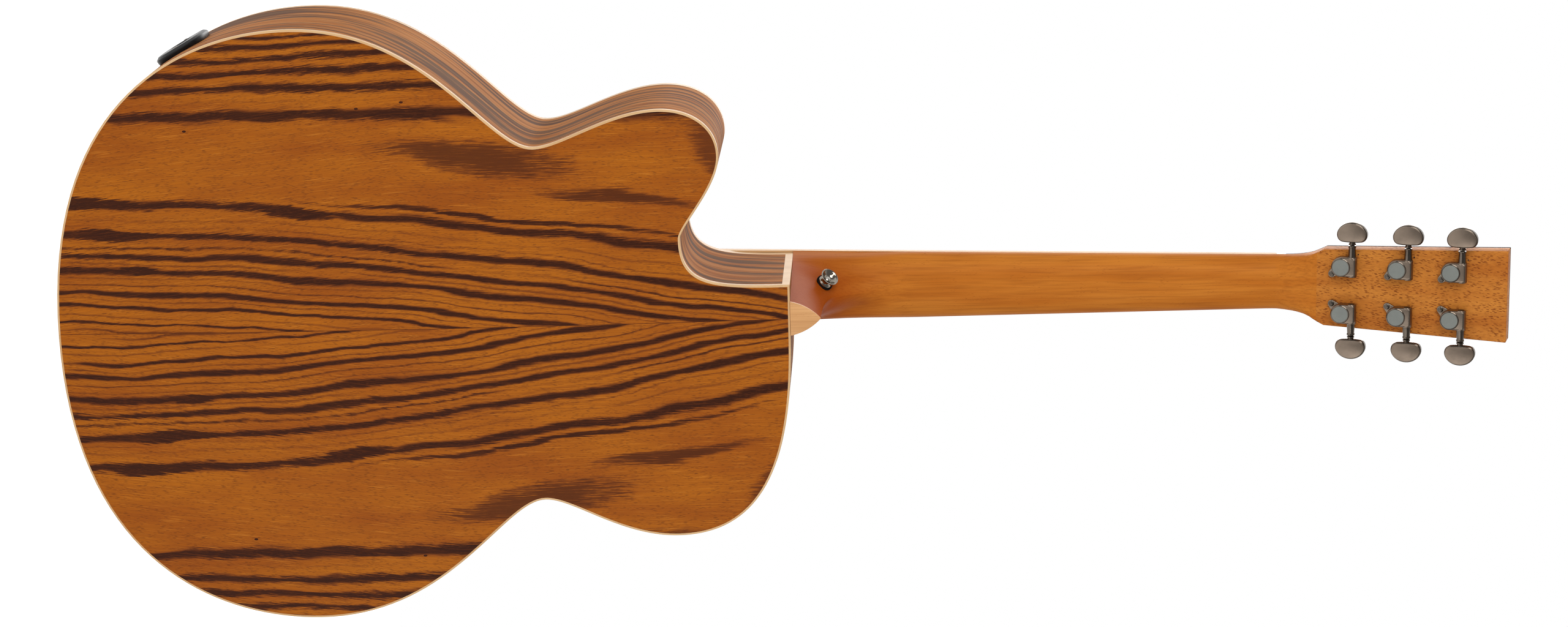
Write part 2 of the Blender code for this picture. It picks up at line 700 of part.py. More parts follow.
def headstock():
    """Headstock and its front veneer, both drilled for the tuning machines."""
    start, end = SCARF_JOINT + GAP / 2, HEADSTOCK_LENGTH
    rim = [(head_half_width(z), z) for z in (start, HEADSTOCK_CORNER, end)]
    loop = [(-x, z) for x, z in rim] + list(reversed(rim))
    wood = prism("headstock", [loop], 0, HEADSTOCK_THICKNESS, NECK_WOOD)
    rounded = wood.modifiers.new("edges", 'BEVEL')
    rounded.width = 0.8 * MM
    rounded.segments = 1
    veneer_start = 6.5
    places = [veneer_start] + [along for along, _ in HEAD_FLARE if along > veneer_start]
    side = [(head_half_width(a * MM), a * MM) for a in places] + [rim[-1]]
    loop = side + [(-x, z) for x, z in reversed(side)]
    veneer = prism("headstock_veneer", [loop], -VENEER_THICKNESS - GAP, -GAP, DARK_WOOD)
    holes = bmesh.new()
    for sign in (-1, 1):
        for along in POST_PLACES:
            add_cylinder(holes, BARREL_RADIUS + GAP, (sign * POST_ROWS, -9 * MM, along),
                         (sign * POST_ROWS, 19 * MM, along), 16)
    mesh = bpy.data.meshes.new("post_holes")
    holes.to_mesh(mesh)
    holes.free()
    cutter = add_object("post_holes", mesh, None, HEAD)
    for drilled in (wood, veneer):
        drilled.matrix_world = HEAD @ drilled.matrix_world
        combine(drilled, cutter, 'DIFFERENCE')


def board_ring(z, half, low, high, arch):
    """A fretboard section: flat below, arched on top; low and high are depths."""
    steps = 4
    ring = [Vector((half, low, z)), Vector((-half, low, z))]
    for k in range(steps + 1):
        x = -half + 2 * half * k / steps
        ring.append(Vector((x, high - arch * (1 - (x / half) ** 2), z)))
    return ring


def board_bottom(z):
    """Lower face of the fretboard: on the neck, then on the soundboard."""
    return glue_y(z) - GAP if z > JOINT_Z else -GAP


def board_face(z):
    """Depth of the fretboard's upper face at its edge."""
    return glue_y(z) - FRETBOARD_THICKNESS + FRETBOARD_ARCH


def fretboard():
    """Fretboard with its frets, the pale edge binding and the nut."""
    start = FRETBOARD_END_Z + FRETBOARD_BINDING + GAP
    stations = (start, JOINT_Z, JOINT_Z + 0.1 * MM, NUT_Z - 0.3 * MM)
    trim = FRETBOARD_BINDING + GAP
    rings = [board_ring(z, fretboard_half_width(z) - trim, board_bottom(z), board_face(z), FRETBOARD_ARCH)
             for z in stations]
    board = loft("fretboard", rings, DARK_WOOD)
    frets = bmesh.new()
    for number in range(1, FRETS + 1):
        z = NUT_Z - SCALE_LENGTH * (1 - 2 ** (-number / 12))
        half = fretboard_half_width(z) - trim - 0.2 * MM
        edge = board_face(z)
        rows = [board_ring(z + dz, half, edge + 1 * MM, edge - rise, FRETBOARD_ARCH)
                for dz, rise in ((-1.1 * MM, 0.5 * MM), (0, 1.1 * MM), (1.1 * MM, 0.5 * MM))]
        skin_rings(frets, rows)
    bmesh.ops.recalc_face_normals(frets, faces=frets.faces)
    mesh = bpy.data.meshes.new("frets")
    frets.to_mesh(mesh)
    frets.free()
    combine(board, add_object("frets", mesh, None), 'UNION')

    def side_ring(z, sign):
        outer = fretboard_half_width(z)
        xs = (sign * (outer - FRETBOARD_BINDING), sign * outer)
        low, high = board_bottom(z), board_face(z)
        return [Vector((x, y, z)) for x, y in ((xs[0], low), (xs[1], low), (xs[1], high), (xs[0], high))]
    ends = (FRETBOARD_END_Z, JOINT_Z, JOINT_Z + 0.1 * MM, NUT_Z - 0.3 * MM)
    binding = loft("fretboard_binding", [side_ring(z, 1) for z in ends], MAPLE)
    combine(binding, loft("binding_other_side", [side_ring(z, -1) for z in ends], None), 'UNION')
    closing = [board_ring(z, fretboard_half_width(z) - 0.2 * MM, board_bottom(z), board_face(z), 0)
               for z in (FRETBOARD_END_Z, FRETBOARD_END_Z + FRETBOARD_BINDING)]
    combine(binding, loft("binding_end", closing, None), 'UNION')
    half = NUT_WIDTH / 2
    low = glue_y(NUT_Z) - GAP
    rings = [board_ring(NUT_Z + along * MM, half, low, low - height * MM, FRETBOARD_ARCH)
             for along, height in ((0.3, 7.0), (1.2, 7.3), (5.0, 5.6))]
    loft("nut", rings, BONE)


def string_x(index, spread):
    """Sideways place of a string, the lowest at -X."""
    return spread * (index / 5 - 0.5)


def round_ring(x, y, z, radius, sides):
    """A circle square to Y."""
    angles = [2 * math.pi * k / sides for k in range(sides)]
    return [Vector((x + radius * math.cos(a), y, z + radius * math.sin(a))) for a in angles]


def bridge():
    """Bridge with its six pins, the saddle in its slot and the pickup strip below it."""
    half, deep = 80 * MM, 15 * MM
    centre = SADDLE_Z - 7 * MM
    loop = []
    for sign_x, sign_z in ((1, 1), (1, -1), (-1, -1), (-1, 1)):
        for k in range(5):
            a = math.pi / 2 * (k / 4 if sign_x * sign_z < 0 else 1 - k / 4)
            x = sign_x * (half - 10 * MM + 10 * MM * math.cos(a))
            z = sign_z * (deep - 10 * MM + 10 * MM * math.sin(a))
            loop.append((x, centre + z))
    body = prism("bridge", [loop], -BRIDGE_THICKNESS, -GAP, DARK_WOOD)
    pins = bmesh.new()
    for index in range(6):
        x = string_x(index, BRIDGE_SPREAD)
        z = SADDLE_Z - 13 * MM
        ring = []
        for radius, rise in ((2.4, -3), (2.4, 0.3), (3.7, 0.8), (3.4, 2.2), (1.6, 3.4)):
            ring.append(round_ring(x, -BRIDGE_THICKNESS - rise * MM, z, radius * MM, 10))
        skin_rings(pins, ring)
    bmesh.ops.recalc_face_normals(pins, faces=pins.faces)
    slot_half = 38 * MM
    add_slot = box("saddle_slot", (-slot_half, -BRIDGE_THICKNESS - 5 * MM, SADDLE_Z - 1.6 * MM),
                   (slot_half, -2.5 * MM, SADDLE_Z + 1.6 * MM), None)
    mesh = bpy.data.meshes.new("bridge_pins")
    pins.to_mesh(mesh)
    pins.free()
    combine(body, add_slot, 'DIFFERENCE')
    combine(body, add_object("bridge_pins", mesh, None), 'UNION')
    box("pickup_strip", (-slot_half + GAP, -4.4 * MM, SADDLE_Z - 1.2 * MM),
        (slot_half - GAP, -2.8 * MM, SADDLE_Z + 1.2 * MM), BLACK)
    seat = -4.7 * MM
    rings = [board_ring(SADDLE_Z + dz, slot_half - GAP, seat, -SADDLE_TOP + 1.6 * MM + down, 1.6 * MM)
             for dz, down in ((-1.3 * MM, 0.5 * MM), (0, 0), (1.3 * MM, 0.5 * MM))]
    loft("saddle", rings, BONE)


def post_frame(side, along):
    """A tuning machine's frame on the headstock's back: X outwards, Y away from the wood."""
    return HEAD @ Matrix.Translation((side * POST_ROWS, HEADSTOCK_THICKNESS, along))


def housing(name, side, place):
    """Cast gear housing with its worm sleeve, screw ear, cover, barrel and front washer."""
    front = HEADSTOCK_THICKNESS + VENEER_THICKNESS + GAP

    def solid(bm):
        add_cylinder(bm, 7.3 * MM, (0, GAP, 0), (0, HOUSING_HEIGHT, 0), 20)
    made = add_object(name, mesh_from(name, solid), SMOKED, place)
    half, shy = 7.25 * MM, 0.05 * MM
    block = box(name + "_block", (-half, GAP + shy, 0), (half, HOUSING_HEIGHT - shy, 10.9 * MM), None, place)
    combine(made, block, 'UNION')

    def added(bm):
        add_cylinder(bm, 2.85 * MM, (side * 6.4 * MM, SHAFT_HEIGHT, SHAFT_OFFSET),
                     (side * 16.2 * MM, SHAFT_HEIGHT, SHAFT_OFFSET), 12, 2.7 * MM)
    combine(made, add_object(name + "_sleeve", mesh_from(name, added), None, place), 'UNION')

    def ear(bm):
        add_cylinder(bm, 3.3 * MM, (-side * 6.4 * MM, GAP + 0.1 * MM, -7.4 * MM),
                     (-side * 6.4 * MM, 2.4 * MM, -7.4 * MM), 12)
    combine(made, add_object(name + "_ear", mesh_from(name, ear), None, place), 'UNION')

    def cover(bm):
        add_cylinder(bm, 6.0 * MM, (0, HOUSING_HEIGHT - 1 * MM, 0), (0, HOUSING_HEIGHT + 0.6 * MM, 0), 20)
    combine(made, add_object(name + "_cover", mesh_from(name, cover), None, place), 'UNION')

    def barrel(bm):
        add_cylinder(bm, BARREL_RADIUS, (0, 1 * MM, 0), (0, -front - 0.5 * MM, 0), 16)
    combine(made, add_object(name + "_barrel", mesh_from(name, barrel), None, place), 'UNION')

    def washer(bm):
        add_cylinder(bm, 7.0 * MM, (0, -front - GAP, 0), (0, -front - 2.2 * MM, 0), 16, 6.2 * MM)
    combine(made, add_object(name + "_washer", mesh_from(name, washer), None, place), 'UNION')

    def gear_room(bm):
        add_cylinder(bm, 5.8 * MM, (0, 2.0 * MM, 0), (0, 7.4 * MM, 0), 16)
    combine(made, add_object(name + "_gear_room", mesh_from(name, gear_room), None, place), 'DIFFERENCE')

    def bore(bm):
        add_cylinder(bm, POST_RADIUS + GAP, (0, 3 * MM, 0), (0, -front - 5 * MM, 0), 16)
    combine(made, add_object(name + "_bore", mesh_from(name, bore), None, place), 'DIFFERENCE')

    def worm_room(bm):
        add_cylinder(bm, 2.5 * MM, (-5.4 * MM, SHAFT_HEIGHT, SHAFT_OFFSET),
                     (5.4 * MM, SHAFT_HEIGHT, SHAFT_OFFSET), 12)
    combine(made, add_object(name + "_worm_room", mesh_from(name, worm_room), None, place), 'DIFFERENCE')

    def shaft_bore(bm):
        add_cylinder(bm, 1.85 * MM, (side * 5 * MM, SHAFT_HEIGHT, SHAFT_OFFSET),
                     (side * 19 * MM, SHAFT_HEIGHT, SHAFT_OFFSET), 12)
    combine(made, add_object(name + "_shaft_bore", mesh_from(name, shaft_bore), None, place), 'DIFFERENCE')
    return soften(made)


def string_post(name, place):
    """String post with its gear, turning on local Y."""
    upright = place @ Matrix.Rotation(math.pi / 2, 4, 'X')
    profile = [(2.6, 29.0), (3.1, 28.4), (3.1, 25.0), (2.5, 23.6), (2.5, 21.4), (3.1, 20.0),
               (3.1, -2.7), (5.2, -2.7), (5.2, -6.7)]
    made = turned(name, [(r * MM, h * MM) for r, h in profile], SMOKED, upright, 16)
    return soften(made)


def tuner_button(name, side, place):
    """Half-moon button on its worm shaft, turning on local X."""
    shaft = place @ Matrix.Translation((0, SHAFT_HEIGHT, SHAFT_OFFSET))
    nodes = [
        (18.7, 0, 90, 90, 0, 4),
        (19.0, 6.2, 88, 88, 0, 3),
        (24.8, 11.2, 0, 0, 3.4, 3.4),
        (33.9, 0, 270, 270, 7.4, 0),
    ]
    half = cubic_path(nodes, 6)
    loop = half[:-1] + [Vector((p.x, -p.y)) for p in reversed(half[1:])]
    loop = [Vector((side * p.x, p.y)) for p in loop]
    blade = prism(name, [loop], -3.4 * MM, 3.4 * MM, SMOKED)
    blade.matrix_world = shaft @ blade.matrix_world
    edges = blade.modifiers.new("edges", 'BEVEL')
    edges.width = 1.1 * MM
    edges.segments = 1

    def stem(bm):
        add_cylinder(bm, 1.5 * MM, (-side * 4.9 * MM, 0, 0), (side * 22 * MM, 0, 0), 12)
    combine(blade, add_object(name + "_shaft", mesh_from(name, stem), None, shaft), 'UNION')

    def worm(bm):
        add_cylinder(bm, 2.1 * MM, (-side * 4.8 * MM, 0, 0), (side * 4.8 * MM, 0, 0), 12)
    combine(blade, add_object(name + "_worm", mesh_from(name, worm), None, shaft), 'UNION')

    def collar(bm):
        add_cylinder(bm, 2.7 * MM, (side * 16.5 * MM, 0, 0), (side * 20 * MM, 0, 0), 12)
    combine(blade, add_object(name + "_collar", mesh_from(name, collar), None, shaft), 'UNION')
    return soften(blade)


def tuning_machines():
    """Six machines, numbered as the strings they wind, the highest string first."""
    order = {6: (-1, 0), 5: (-1, 1), 4: (-1, 2), 3: (1, 2), 2: (1, 1), 1: (1, 0)}
    for number, (side, place) in order.items():
        frame = post_frame(side, POST_PLACES[place])
        housing(f"tuner_housing_{number}", side, frame)
        string_post(f"string_post_{number}", frame)
        tuner_button(f"tuner_button_{number}", side, frame)
    return order


def string_route(index, side, along):
    """A string's points: bridge pin, saddle, nut and the turns round its post."""
    radius = STRING_DIAMETERS[index] / 2
    x_bridge = string_x(index, BRIDGE_SPREAD)
    x_nut = string_x(index, NUT_SPREAD)
    pin_z = SADDLE_Z - 13 * MM + 4.2 * MM
    crown = 1.6 * MM * (x_bridge / (38 * MM)) ** 2
    over = GAP + radius
    arch = FRETBOARD_ARCH * (x_nut / (NUT_WIDTH / 2)) ** 2
    nut_low = glue_y(NUT_Z) - GAP - 7.3 * MM - FRETBOARD_ARCH + arch
    points = [
        Vector((x_bridge, -BRIDGE_THICKNESS - over, pin_z)),
        Vector((x_bridge, -SADDLE_TOP + crown - over, SADDLE_Z - 1.2 * MM)),
        Vector((x_bridge, -SADDLE_TOP + crown - over, SADDLE_Z + 0.8 * MM)),
        Vector((x_nut, nut_low - over, NUT_Z + 1.0 * MM)),
        Vector((x_nut, nut_low - over + 0.1 * MM, NUT_Z + 2.2 * MM)),
    ]
    centre = Vector((side * POST_ROWS, 0, along))
    start_height = HEADSTOCK_THICKNESS - POST_WAIST_HEIGHT
    inward = -side
    turns, per_turn = 2, 8
    wrap = (POST_RADIUS + 0.1 * MM + radius) / math.cos(math.pi / per_turn)
    climb = 2 * radius + 0.45 * MM
    for k in range(turns * per_turn + 1):
        angle = 2 * math.pi * k / per_turn
        around = Vector((inward * math.cos(angle), 0, math.sin(angle))) * wrap
        local = centre + around + Vector((0, start_height - climb * k / per_turn + climb, 0))
        points.append(HEAD @ local)
    return points


def strings(order):
    """Six strings, each one tube from its bridge pin to its post."""
    for number, (side, place) in order.items():
        index = 6 - number
        curve = bpy.data.curves.new(f"string_{number}", 'CURVE')
        curve.dimensions = '3D'
        curve.bevel_depth = STRING_DIAMETERS[index] / 2
        curve.bevel_resolution = 1
        curve.use_fill_caps = True
        spline = curve.splines.new('POLY')
        route = string_route(index, side, POST_PLACES[place])
        spline.points.add(len(route) - 1)
        for point, place_at in zip(spline.points, route):
            point.co = (*place_at, 1.0)
        made = bpy.data.objects.new(f"string_{number}", curve)
        GUITAR.objects.link(made)
        curve_to_mesh(made, STRING_METAL)


def strap_button(name, washer_name, foot, outward):
    """Turned strap button on its felt washer; foot is the washer's seat."""
    place = Matrix.Translation(foot) @ outward.to_track_quat('Z', 'Y').to_matrix().to_4x4()
    turned(washer_name, [(6.3 * MM, 0.1 * MM), (6.3 * MM, 1.5 * MM)], FELT, place, 20)
    profile = [(5.25, 1.8), (5.25, 2.7), (4.1, 3.8), (3.8, 5.0), (4.6, 6.4), (6.9, 8.5), (6.9, 9.0),
               (5.5, 9.0), (2.4, 6.6), (2.4, 7.2), (1.0, 7.4)]
    made = turned(name, [(r * MM, h * MM) for r, h in profile], NICKEL, place, 24)
    return soften(made)


def heel_flank(up, y):
    """The heel's surface on the cutaway side at a height and depth."""
    end_y = HEEL_SEAT_Y
    for (a, ya), (b, yb) in zip(SPINE, SPINE[1:]):
        if a <= up <= b:
            end_y = ya + (yb - ya) * (up - a) / (b - a)
    z = JOINT_Z + up
    top = glue_y(z)
    return Vector((neck_half(up, (y - top) / (end_y - top), end_y - top, z), y, z))


def strap_buttons():
    """One strap button on the heel's cutaway side and one at the tail."""
    small = 2 * MM
    spot = heel_flank(HEEL_BUTTON_Z, HEEL_BUTTON_Y)
    up, y = HEEL_BUTTON_Z, HEEL_BUTTON_Y
    upward = heel_flank(up + small, y) - heel_flank(up - small, y)
    backward = heel_flank(up, y + small) - heel_flank(up, y - small)
    outward = backward.cross(upward).normalized()
    if outward.x < 0:
        outward = -outward
    foot = spot + outward * GAP
    seat = cylinder("washer_seat", 6.8 * MM, foot - outward * 0.2 * MM, foot + outward * 14 * MM, None, 20)
    combine(bpy.data.objects["neck"], seat, 'DIFFERENCE')
    strap_button("heel_strap_button", "heel_strap_washer", foot, outward)
    tail_foot = Vector((0, TAIL_BUTTON_Y, TAIL_Z - GAP))
    strap_button("tail_strap_button", "tail_strap_washer", tail_foot, Vector((0, 0, -1)))


def jack():
    """Recessed output jack plate on the cutaway side near the tail, and its socket."""
    share = JACK_SHARE
    p0, p3 = Vector((0, TAIL_Z)), Vector((LOWER_BOUT, JOINT_Z - 349 * MM))
    p1, p2 = p0 + Vector((175 * MM, 0)), p3 - Vector((0, 74 * MM))
    s = 1 - share
    spot = s ** 3 * p0 + 3 * s * s * share * p1 + 3 * s * share * share * p2 + share ** 3 * p3
    run = (s * s * (p1 - p0) + 2 * s * share * (p2 - p1) + share * share * (p3 - p2)).normalized()
    outward = Vector((run.y, 0, -run.x))
    along = Vector((run.x, 0, run.y))
    depth = Vector((0, 1, 0))
    place = Matrix((along, depth, outward)).transposed().to_4x4()
    place.translation = Vector((spot.x, JACK_Y, spot.y))

    def ring(half_along, half_deep, height, bulge):
        points = []
        for k in range(24):
            a = 2 * math.pi * k / 24
            c, d = math.cos(a), math.sin(a)
            x = half_along * math.copysign(abs(c) ** bulge, c)
            y = half_deep * math.copysign(abs(d) ** bulge, d)
            points.append(Vector((x * MM, y * MM, height * MM)))
        return points
    plate = loft("jack_plate", [ring(20, 24, 0.9, 0.8), ring(20, 24, 2.2, 0.8), ring(17.5, 21.5, 4.8, 0.8)],
                 BLACK, place)
    cup = loft("jack_cup", [ring(5.2, 5.2, -3, 1), ring(5.2, 5.2, 1.5, 1), ring(9, 15, 8, 1)], None, place)
    combine(plate, cup, 'DIFFERENCE')
    socket_profile = [(4.7, 2.2), (4.7, -16.0)]
    turned("jack_socket", [(r * MM, h * MM) for r, h in socket_profile], NICKEL, place, 16)
    hole = cylinder("jack_socket_bore", 3.2 * MM, (0, 0, 6 * MM), (0, 0, -13 * MM), None, 12, place)
    combine(bpy.data.objects["jack_socket"], hole, 'DIFFERENCE')
    side_hole = cylinder("jack_side_hole", 5.2 * MM, (0, 0, 8 * MM), (0, 0, -9 * MM), None, 16, place)
    combine(bpy.data.objects["treble_side"], side_hole, 'DIFFERENCE')


def main():
    """Build every sub-part."""
    soundboard()
    domed_plate("back", inset(OUTLINE, BINDING_WIDTH + GAP), BACK_THICKNESS, STRIPED)
    rim_parts()
    blocks()
    bracing()
    neck()
    headstock()
    fretboard()
    bridge()
    order = tuning_machines()
    strings(order)
    strap_buttons()
    jack()
    bpy.context.view_layer.update()


main()
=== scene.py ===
"""Looks for a jumbo cutaway guitar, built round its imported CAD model.

Metres, +Z from the tail to the headstock, soundboard facing -Y, cutaway side at +X.
"""
from __future__ import annotations

import json
import logging
import math
from dataclasses import dataclass, field
from enum import Enum
from functools import reduce
from typing import Callable, Iterable, Sequence

import bmesh
import bpy
from mathutils import Matrix, Vector

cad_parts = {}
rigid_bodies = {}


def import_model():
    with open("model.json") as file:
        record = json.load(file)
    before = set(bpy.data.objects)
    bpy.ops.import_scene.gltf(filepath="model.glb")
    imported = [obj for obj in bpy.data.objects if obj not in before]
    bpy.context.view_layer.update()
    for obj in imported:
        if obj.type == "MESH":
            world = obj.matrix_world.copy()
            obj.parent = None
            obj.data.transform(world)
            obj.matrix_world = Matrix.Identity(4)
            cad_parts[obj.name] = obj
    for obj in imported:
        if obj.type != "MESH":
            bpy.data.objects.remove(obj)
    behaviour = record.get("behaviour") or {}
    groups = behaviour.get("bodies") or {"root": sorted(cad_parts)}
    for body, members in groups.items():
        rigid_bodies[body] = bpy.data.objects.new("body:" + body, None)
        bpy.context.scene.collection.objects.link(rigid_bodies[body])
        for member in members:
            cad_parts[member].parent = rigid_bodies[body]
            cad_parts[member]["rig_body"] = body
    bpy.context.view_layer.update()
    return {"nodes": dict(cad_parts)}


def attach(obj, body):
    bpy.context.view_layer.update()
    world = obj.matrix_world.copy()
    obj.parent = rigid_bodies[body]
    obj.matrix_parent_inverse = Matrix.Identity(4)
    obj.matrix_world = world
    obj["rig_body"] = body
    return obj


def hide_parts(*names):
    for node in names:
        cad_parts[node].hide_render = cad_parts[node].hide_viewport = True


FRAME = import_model()

LOG = logging.getLogger("guitar")
MM = 0.001
ROOT = "guitar"

Point = tuple[float, float]
Ring = list[Vector]
Section = Callable[[float, float], list[Point]]

# Sizes shared by the sub-assemblies, as the solids have them
SCALE_LENGTH = 650 * MM
FRETS = 20
NUT_WIDTH = 41 * MM
TWELFTH_FRET_WIDTH = 51.9 * MM
NECK_SET = math.radians(1.35)
FRETBOARD_THICKNESS = 6.0 * MM
FRETBOARD_ARCH = 0.9 * MM
BODY_LENGTH = 527 * MM
CORNER_X = 25.2 * MM
HEEL_SIDE_DEPTH = 107 * MM
TAIL_SIDE_DEPTH = 124 * MM
BACK_DOME_RADIUS = 5.1
BINDING_WIDTH = 1.5 * MM
TOP_BINDING_HEIGHT = 6.5 * MM
BACK_BINDING_HEIGHT = 4.2 * MM
SOUND_HOLE_RADIUS = 50 * MM
NUT_Z = -18 * MM
NUT_TO_BODY = SCALE_LENGTH * (1 - 2 ** (-14 / 12))
JOINT_Z = NUT_Z - NUT_TO_BODY * math.cos(NECK_SET)
TAIL_Z = JOINT_Z - BODY_LENGTH
SADDLE_Z = JOINT_Z + NUT_TO_BODY - SCALE_LENGTH - 2 * MM
SOUND_HOLE_Z = JOINT_Z - 152 * MM
FRETBOARD_END_Z = JOINT_Z + NUT_TO_BODY - SCALE_LENGTH * (1 - 2 ** (-FRETS / 12)) - 4 * MM
DOME_CENTRE_Z = JOINT_Z - 266 * MM
JOINT_GAP = 0.1 * MM
NUT_CROWN = 7.35
HEAD_DEPTH = 13.0 * MM
POST_ROW = 17.7 * MM
POST_WAIST = 23.4 * MM
SADDLE_ARCH = 1.6 * MM
GLUE_GAP = 0.02 * MM
BUTTON_GAP = 0.3 * MM
TAIL_BUTTON_Y = 62 * MM

# Placements that many pieces share: as drawn, and with local Z facing the front
HERE = Matrix.Identity(4)
UPRIGHT = Matrix.Rotation(math.pi / 2, 4, "X")


class Hand(Enum):
    """The two sides of the guitar."""

    BASS = -1
    TREBLE = 1


class Edge(Enum):
    """Which rim of the body a binding follows."""

    SOUNDBOARD = "soundboard"
    BACK = "back"


# Shader maths


def plug(socket: bpy.types.NodeSocket, value: object) -> None:
    """Link a socket to a value's source, or set it to a plain value."""
    source = value.out if isinstance(value, Sock) else value
    if isinstance(source, bpy.types.NodeSocket):
        socket.id_data.links.new(source, socket)
    else:
        socket.default_value = source


def maths(operation: str, reflected: bool = False) -> Callable[..., Sock]:
    """A method that adds one Math node.

    Args:
        operation: The node's operation.
        reflected: Whether the other value comes first.

    Returns:
        The method.
    """
    def method(self: Sock, *others: Value) -> Sock:
        """Add the node and return its result."""
        values = (*others, self) if reflected else (self, *others)
        return self.web.node("ShaderNodeMath", {"operation": operation}, *values)
    return method


class Sock:
    """One value in a shader; Python's operators on it add Math nodes."""

    __add__, __radd__ = maths("ADD"), maths("ADD", True)
    __sub__, __rsub__ = maths("SUBTRACT"), maths("SUBTRACT", True)
    __mul__, __rmul__ = maths("MULTIPLY"), maths("MULTIPLY", True)
    __truediv__, __pow__ = maths("DIVIDE"), maths("POWER")
    __lt__, __gt__ = maths("LESS_THAN"), maths("GREATER_THAN")
    __abs__, sine = maths("ABSOLUTE"), maths("SINE")
    high, low = maths("MAXIMUM"), maths("MINIMUM")

    def __init__(self, web: Web, out: bpy.types.NodeSocket) -> None:
        """Wrap an output socket of a web's node."""
        self.web = web
        self.out = out

    def step(self, start: float, end: float, least: float = 0.0) -> Sock:
        """Smooth change from least at start to 1 at end; start may be the larger."""
        settings = {"interpolation_type": "SMOOTHSTEP"}
        return self.web.node("ShaderNodeMapRange", settings, self, start, end, least, 1.0)


Value = Sock | float | tuple


class Graph:
    """A node tree with a short way to add nodes."""

    def __init__(self, tree: bpy.types.NodeTree) -> None:
        """Wrap a tree."""
        self.tree = tree

    def add(self, kind: str, settings: dict | None = None, inputs: dict | None = None) -> bpy.types.Node:
        """Add a node.

        Args:
            kind: Blender's node type.
            settings: Node properties, set before its inputs; stops fill a colour ramp.
            inputs: Socket name or place to a value or a source.

        Returns:
            The node.
        """
        made = self.tree.nodes.new(kind)
        for key, value in (settings or {}).items():
            if key == "stops":
                fill_ramp(made.color_ramp, value)
            else:
                setattr(made, key, value)
        for key, value in (inputs or {}).items():
            plug(made.inputs[key], value)
        return made


class Web(Graph):
    """The node tree of a material, or of the world, with its shader."""

    def __init__(self, name: str, world: bool = False) -> None:
        """Start a material or a world."""
        self.holder = bpy.data.worlds.new(name) if world else bpy.data.materials.new(name)
        self.holder.use_nodes = True
        super().__init__(self.holder.node_tree)
        self.shader = self.tree.nodes["Background" if world else "Principled BSDF"]

    def node(self, kind: str, settings: dict | None = None, *values: Value, out: int | str = 0,
             **named: Value) -> Sock:
        """Add any node and pick an output.

        Args:
            kind: Blender's node type.
            settings: Node properties.
            values: Inputs by place.
            out: Which output to return.
            named: Inputs by name, with _ for a space.

        Returns:
            The chosen output.
        """
        inputs = dict(enumerate(values)) | {key.replace("_", " "): value for key, value in named.items()}
        return Sock(self, self.add(kind, settings, inputs).outputs[out])

    def _axes(self, coords: Sock) -> list[Sock]:
        """A vector's three values, from metres to millimetres."""
        split = self.add("ShaderNodeSeparateXYZ", None, {0: coords})
        return [Sock(self, out) * 1000.0 for out in split.outputs]

    def place(self) -> list[Sock]:
        """The point on the object in millimetres as (x, y, z)."""
        return self._axes(self.node("ShaderNodeTexCoord", None, out="Object"))

    def unwrapped(self) -> list[Sock]:
        """The piece's own UV map in millimetres as (along, across)."""
        return self._axes(self.node("ShaderNodeUVMap", {"uv_map": "UVMap"}))[:2]

    def vector(self, x: Value, y: Value, z: Value) -> Sock:
        """Three values as one vector."""
        return self.node("ShaderNodeCombineXYZ", None, x, y, z)

    def noise(self, x: Value, y: Value, z: Value, detail: float, rough: float = 0.5) -> Sock:
        """Noise from 0 to 1, one blob to a unit; rough is the share of each finer octave."""
        return self.node("ShaderNodeTexNoise", None, Vector=self.vector(x, y, z), Scale=1.0, Detail=detail,
                         Roughness=rough)

    def cells(self, x: Value, y: Value, z: Value) -> Sock:
        """Distance to the nearest scattered point, one point to a unit."""
        return self.node("ShaderNodeTexVoronoi", None, Vector=self.vector(x, y, z), Scale=1.0)

    def ramp(self, share: Value, stops: Sequence[tuple]) -> Sock:
        """Colour ramp over a share; a stop is (place, colour)."""
        return self.node("ShaderNodeValToRGB", {"stops": stops}, share)

    def mix(self, share: Value, first: Value, second: Value, blend: str = "MIX") -> Sock:
        """Mix two colours; share is how much of the second shows."""
        settings = {"data_type": "RGBA", "blend_type": blend}
        return Sock(self, self.add("ShaderNodeMix", settings, {0: share, 6: first, 7: second}).outputs[2])

    def bump(self, height: Value, depth: float, strength: float = 1.0) -> Sock:
        """Surface relief from a height of 0 to 1, deep in metres."""
        return self.node("ShaderNodeBump", None, Height=height, Distance=depth, Strength=strength)

    def dress(self, **named: Value) -> bpy.types.Material | bpy.types.World:
        """Set or link the shader's sockets by name and return what holds it."""
        for key, value in named.items():
            plug(self.shader.inputs[key.replace("_", " ")], value)
        return self.holder


def fill_ramp(ramp: bpy.types.ColorRamp, stops: Sequence[tuple]) -> None:
    """Set a colour ramp's stops.

    Args:
        ramp: The ramp.
        stops: (place, colour) with places rising; a colour may be a number for grey.
    """
    while len(ramp.elements) > 1:
        ramp.elements.remove(ramp.elements[-1])
    for index, (place, colour) in enumerate(stops):
        element = ramp.elements[0] if index == 0 else ramp.elements.new(min(place, 1.0))
        element.position = min(max(place, 0.0), 1.0)
        element.color = (colour, colour, colour, 1.0) if isinstance(colour, (int, float)) else colour


def rgb(red: float, green: float, blue: float) -> tuple[float, float, float, float]:
    """A screen colour of 0 to 255 as a linear one."""
    def linear(value: float) -> float:
        """One channel."""
        share = value / 255
        return share / 12.92 if share <= 0.04045 else ((share + 0.055) / 1.055) ** 2.4
    return (linear(red), linear(green), linear(blue), 1.0)


# Finishes


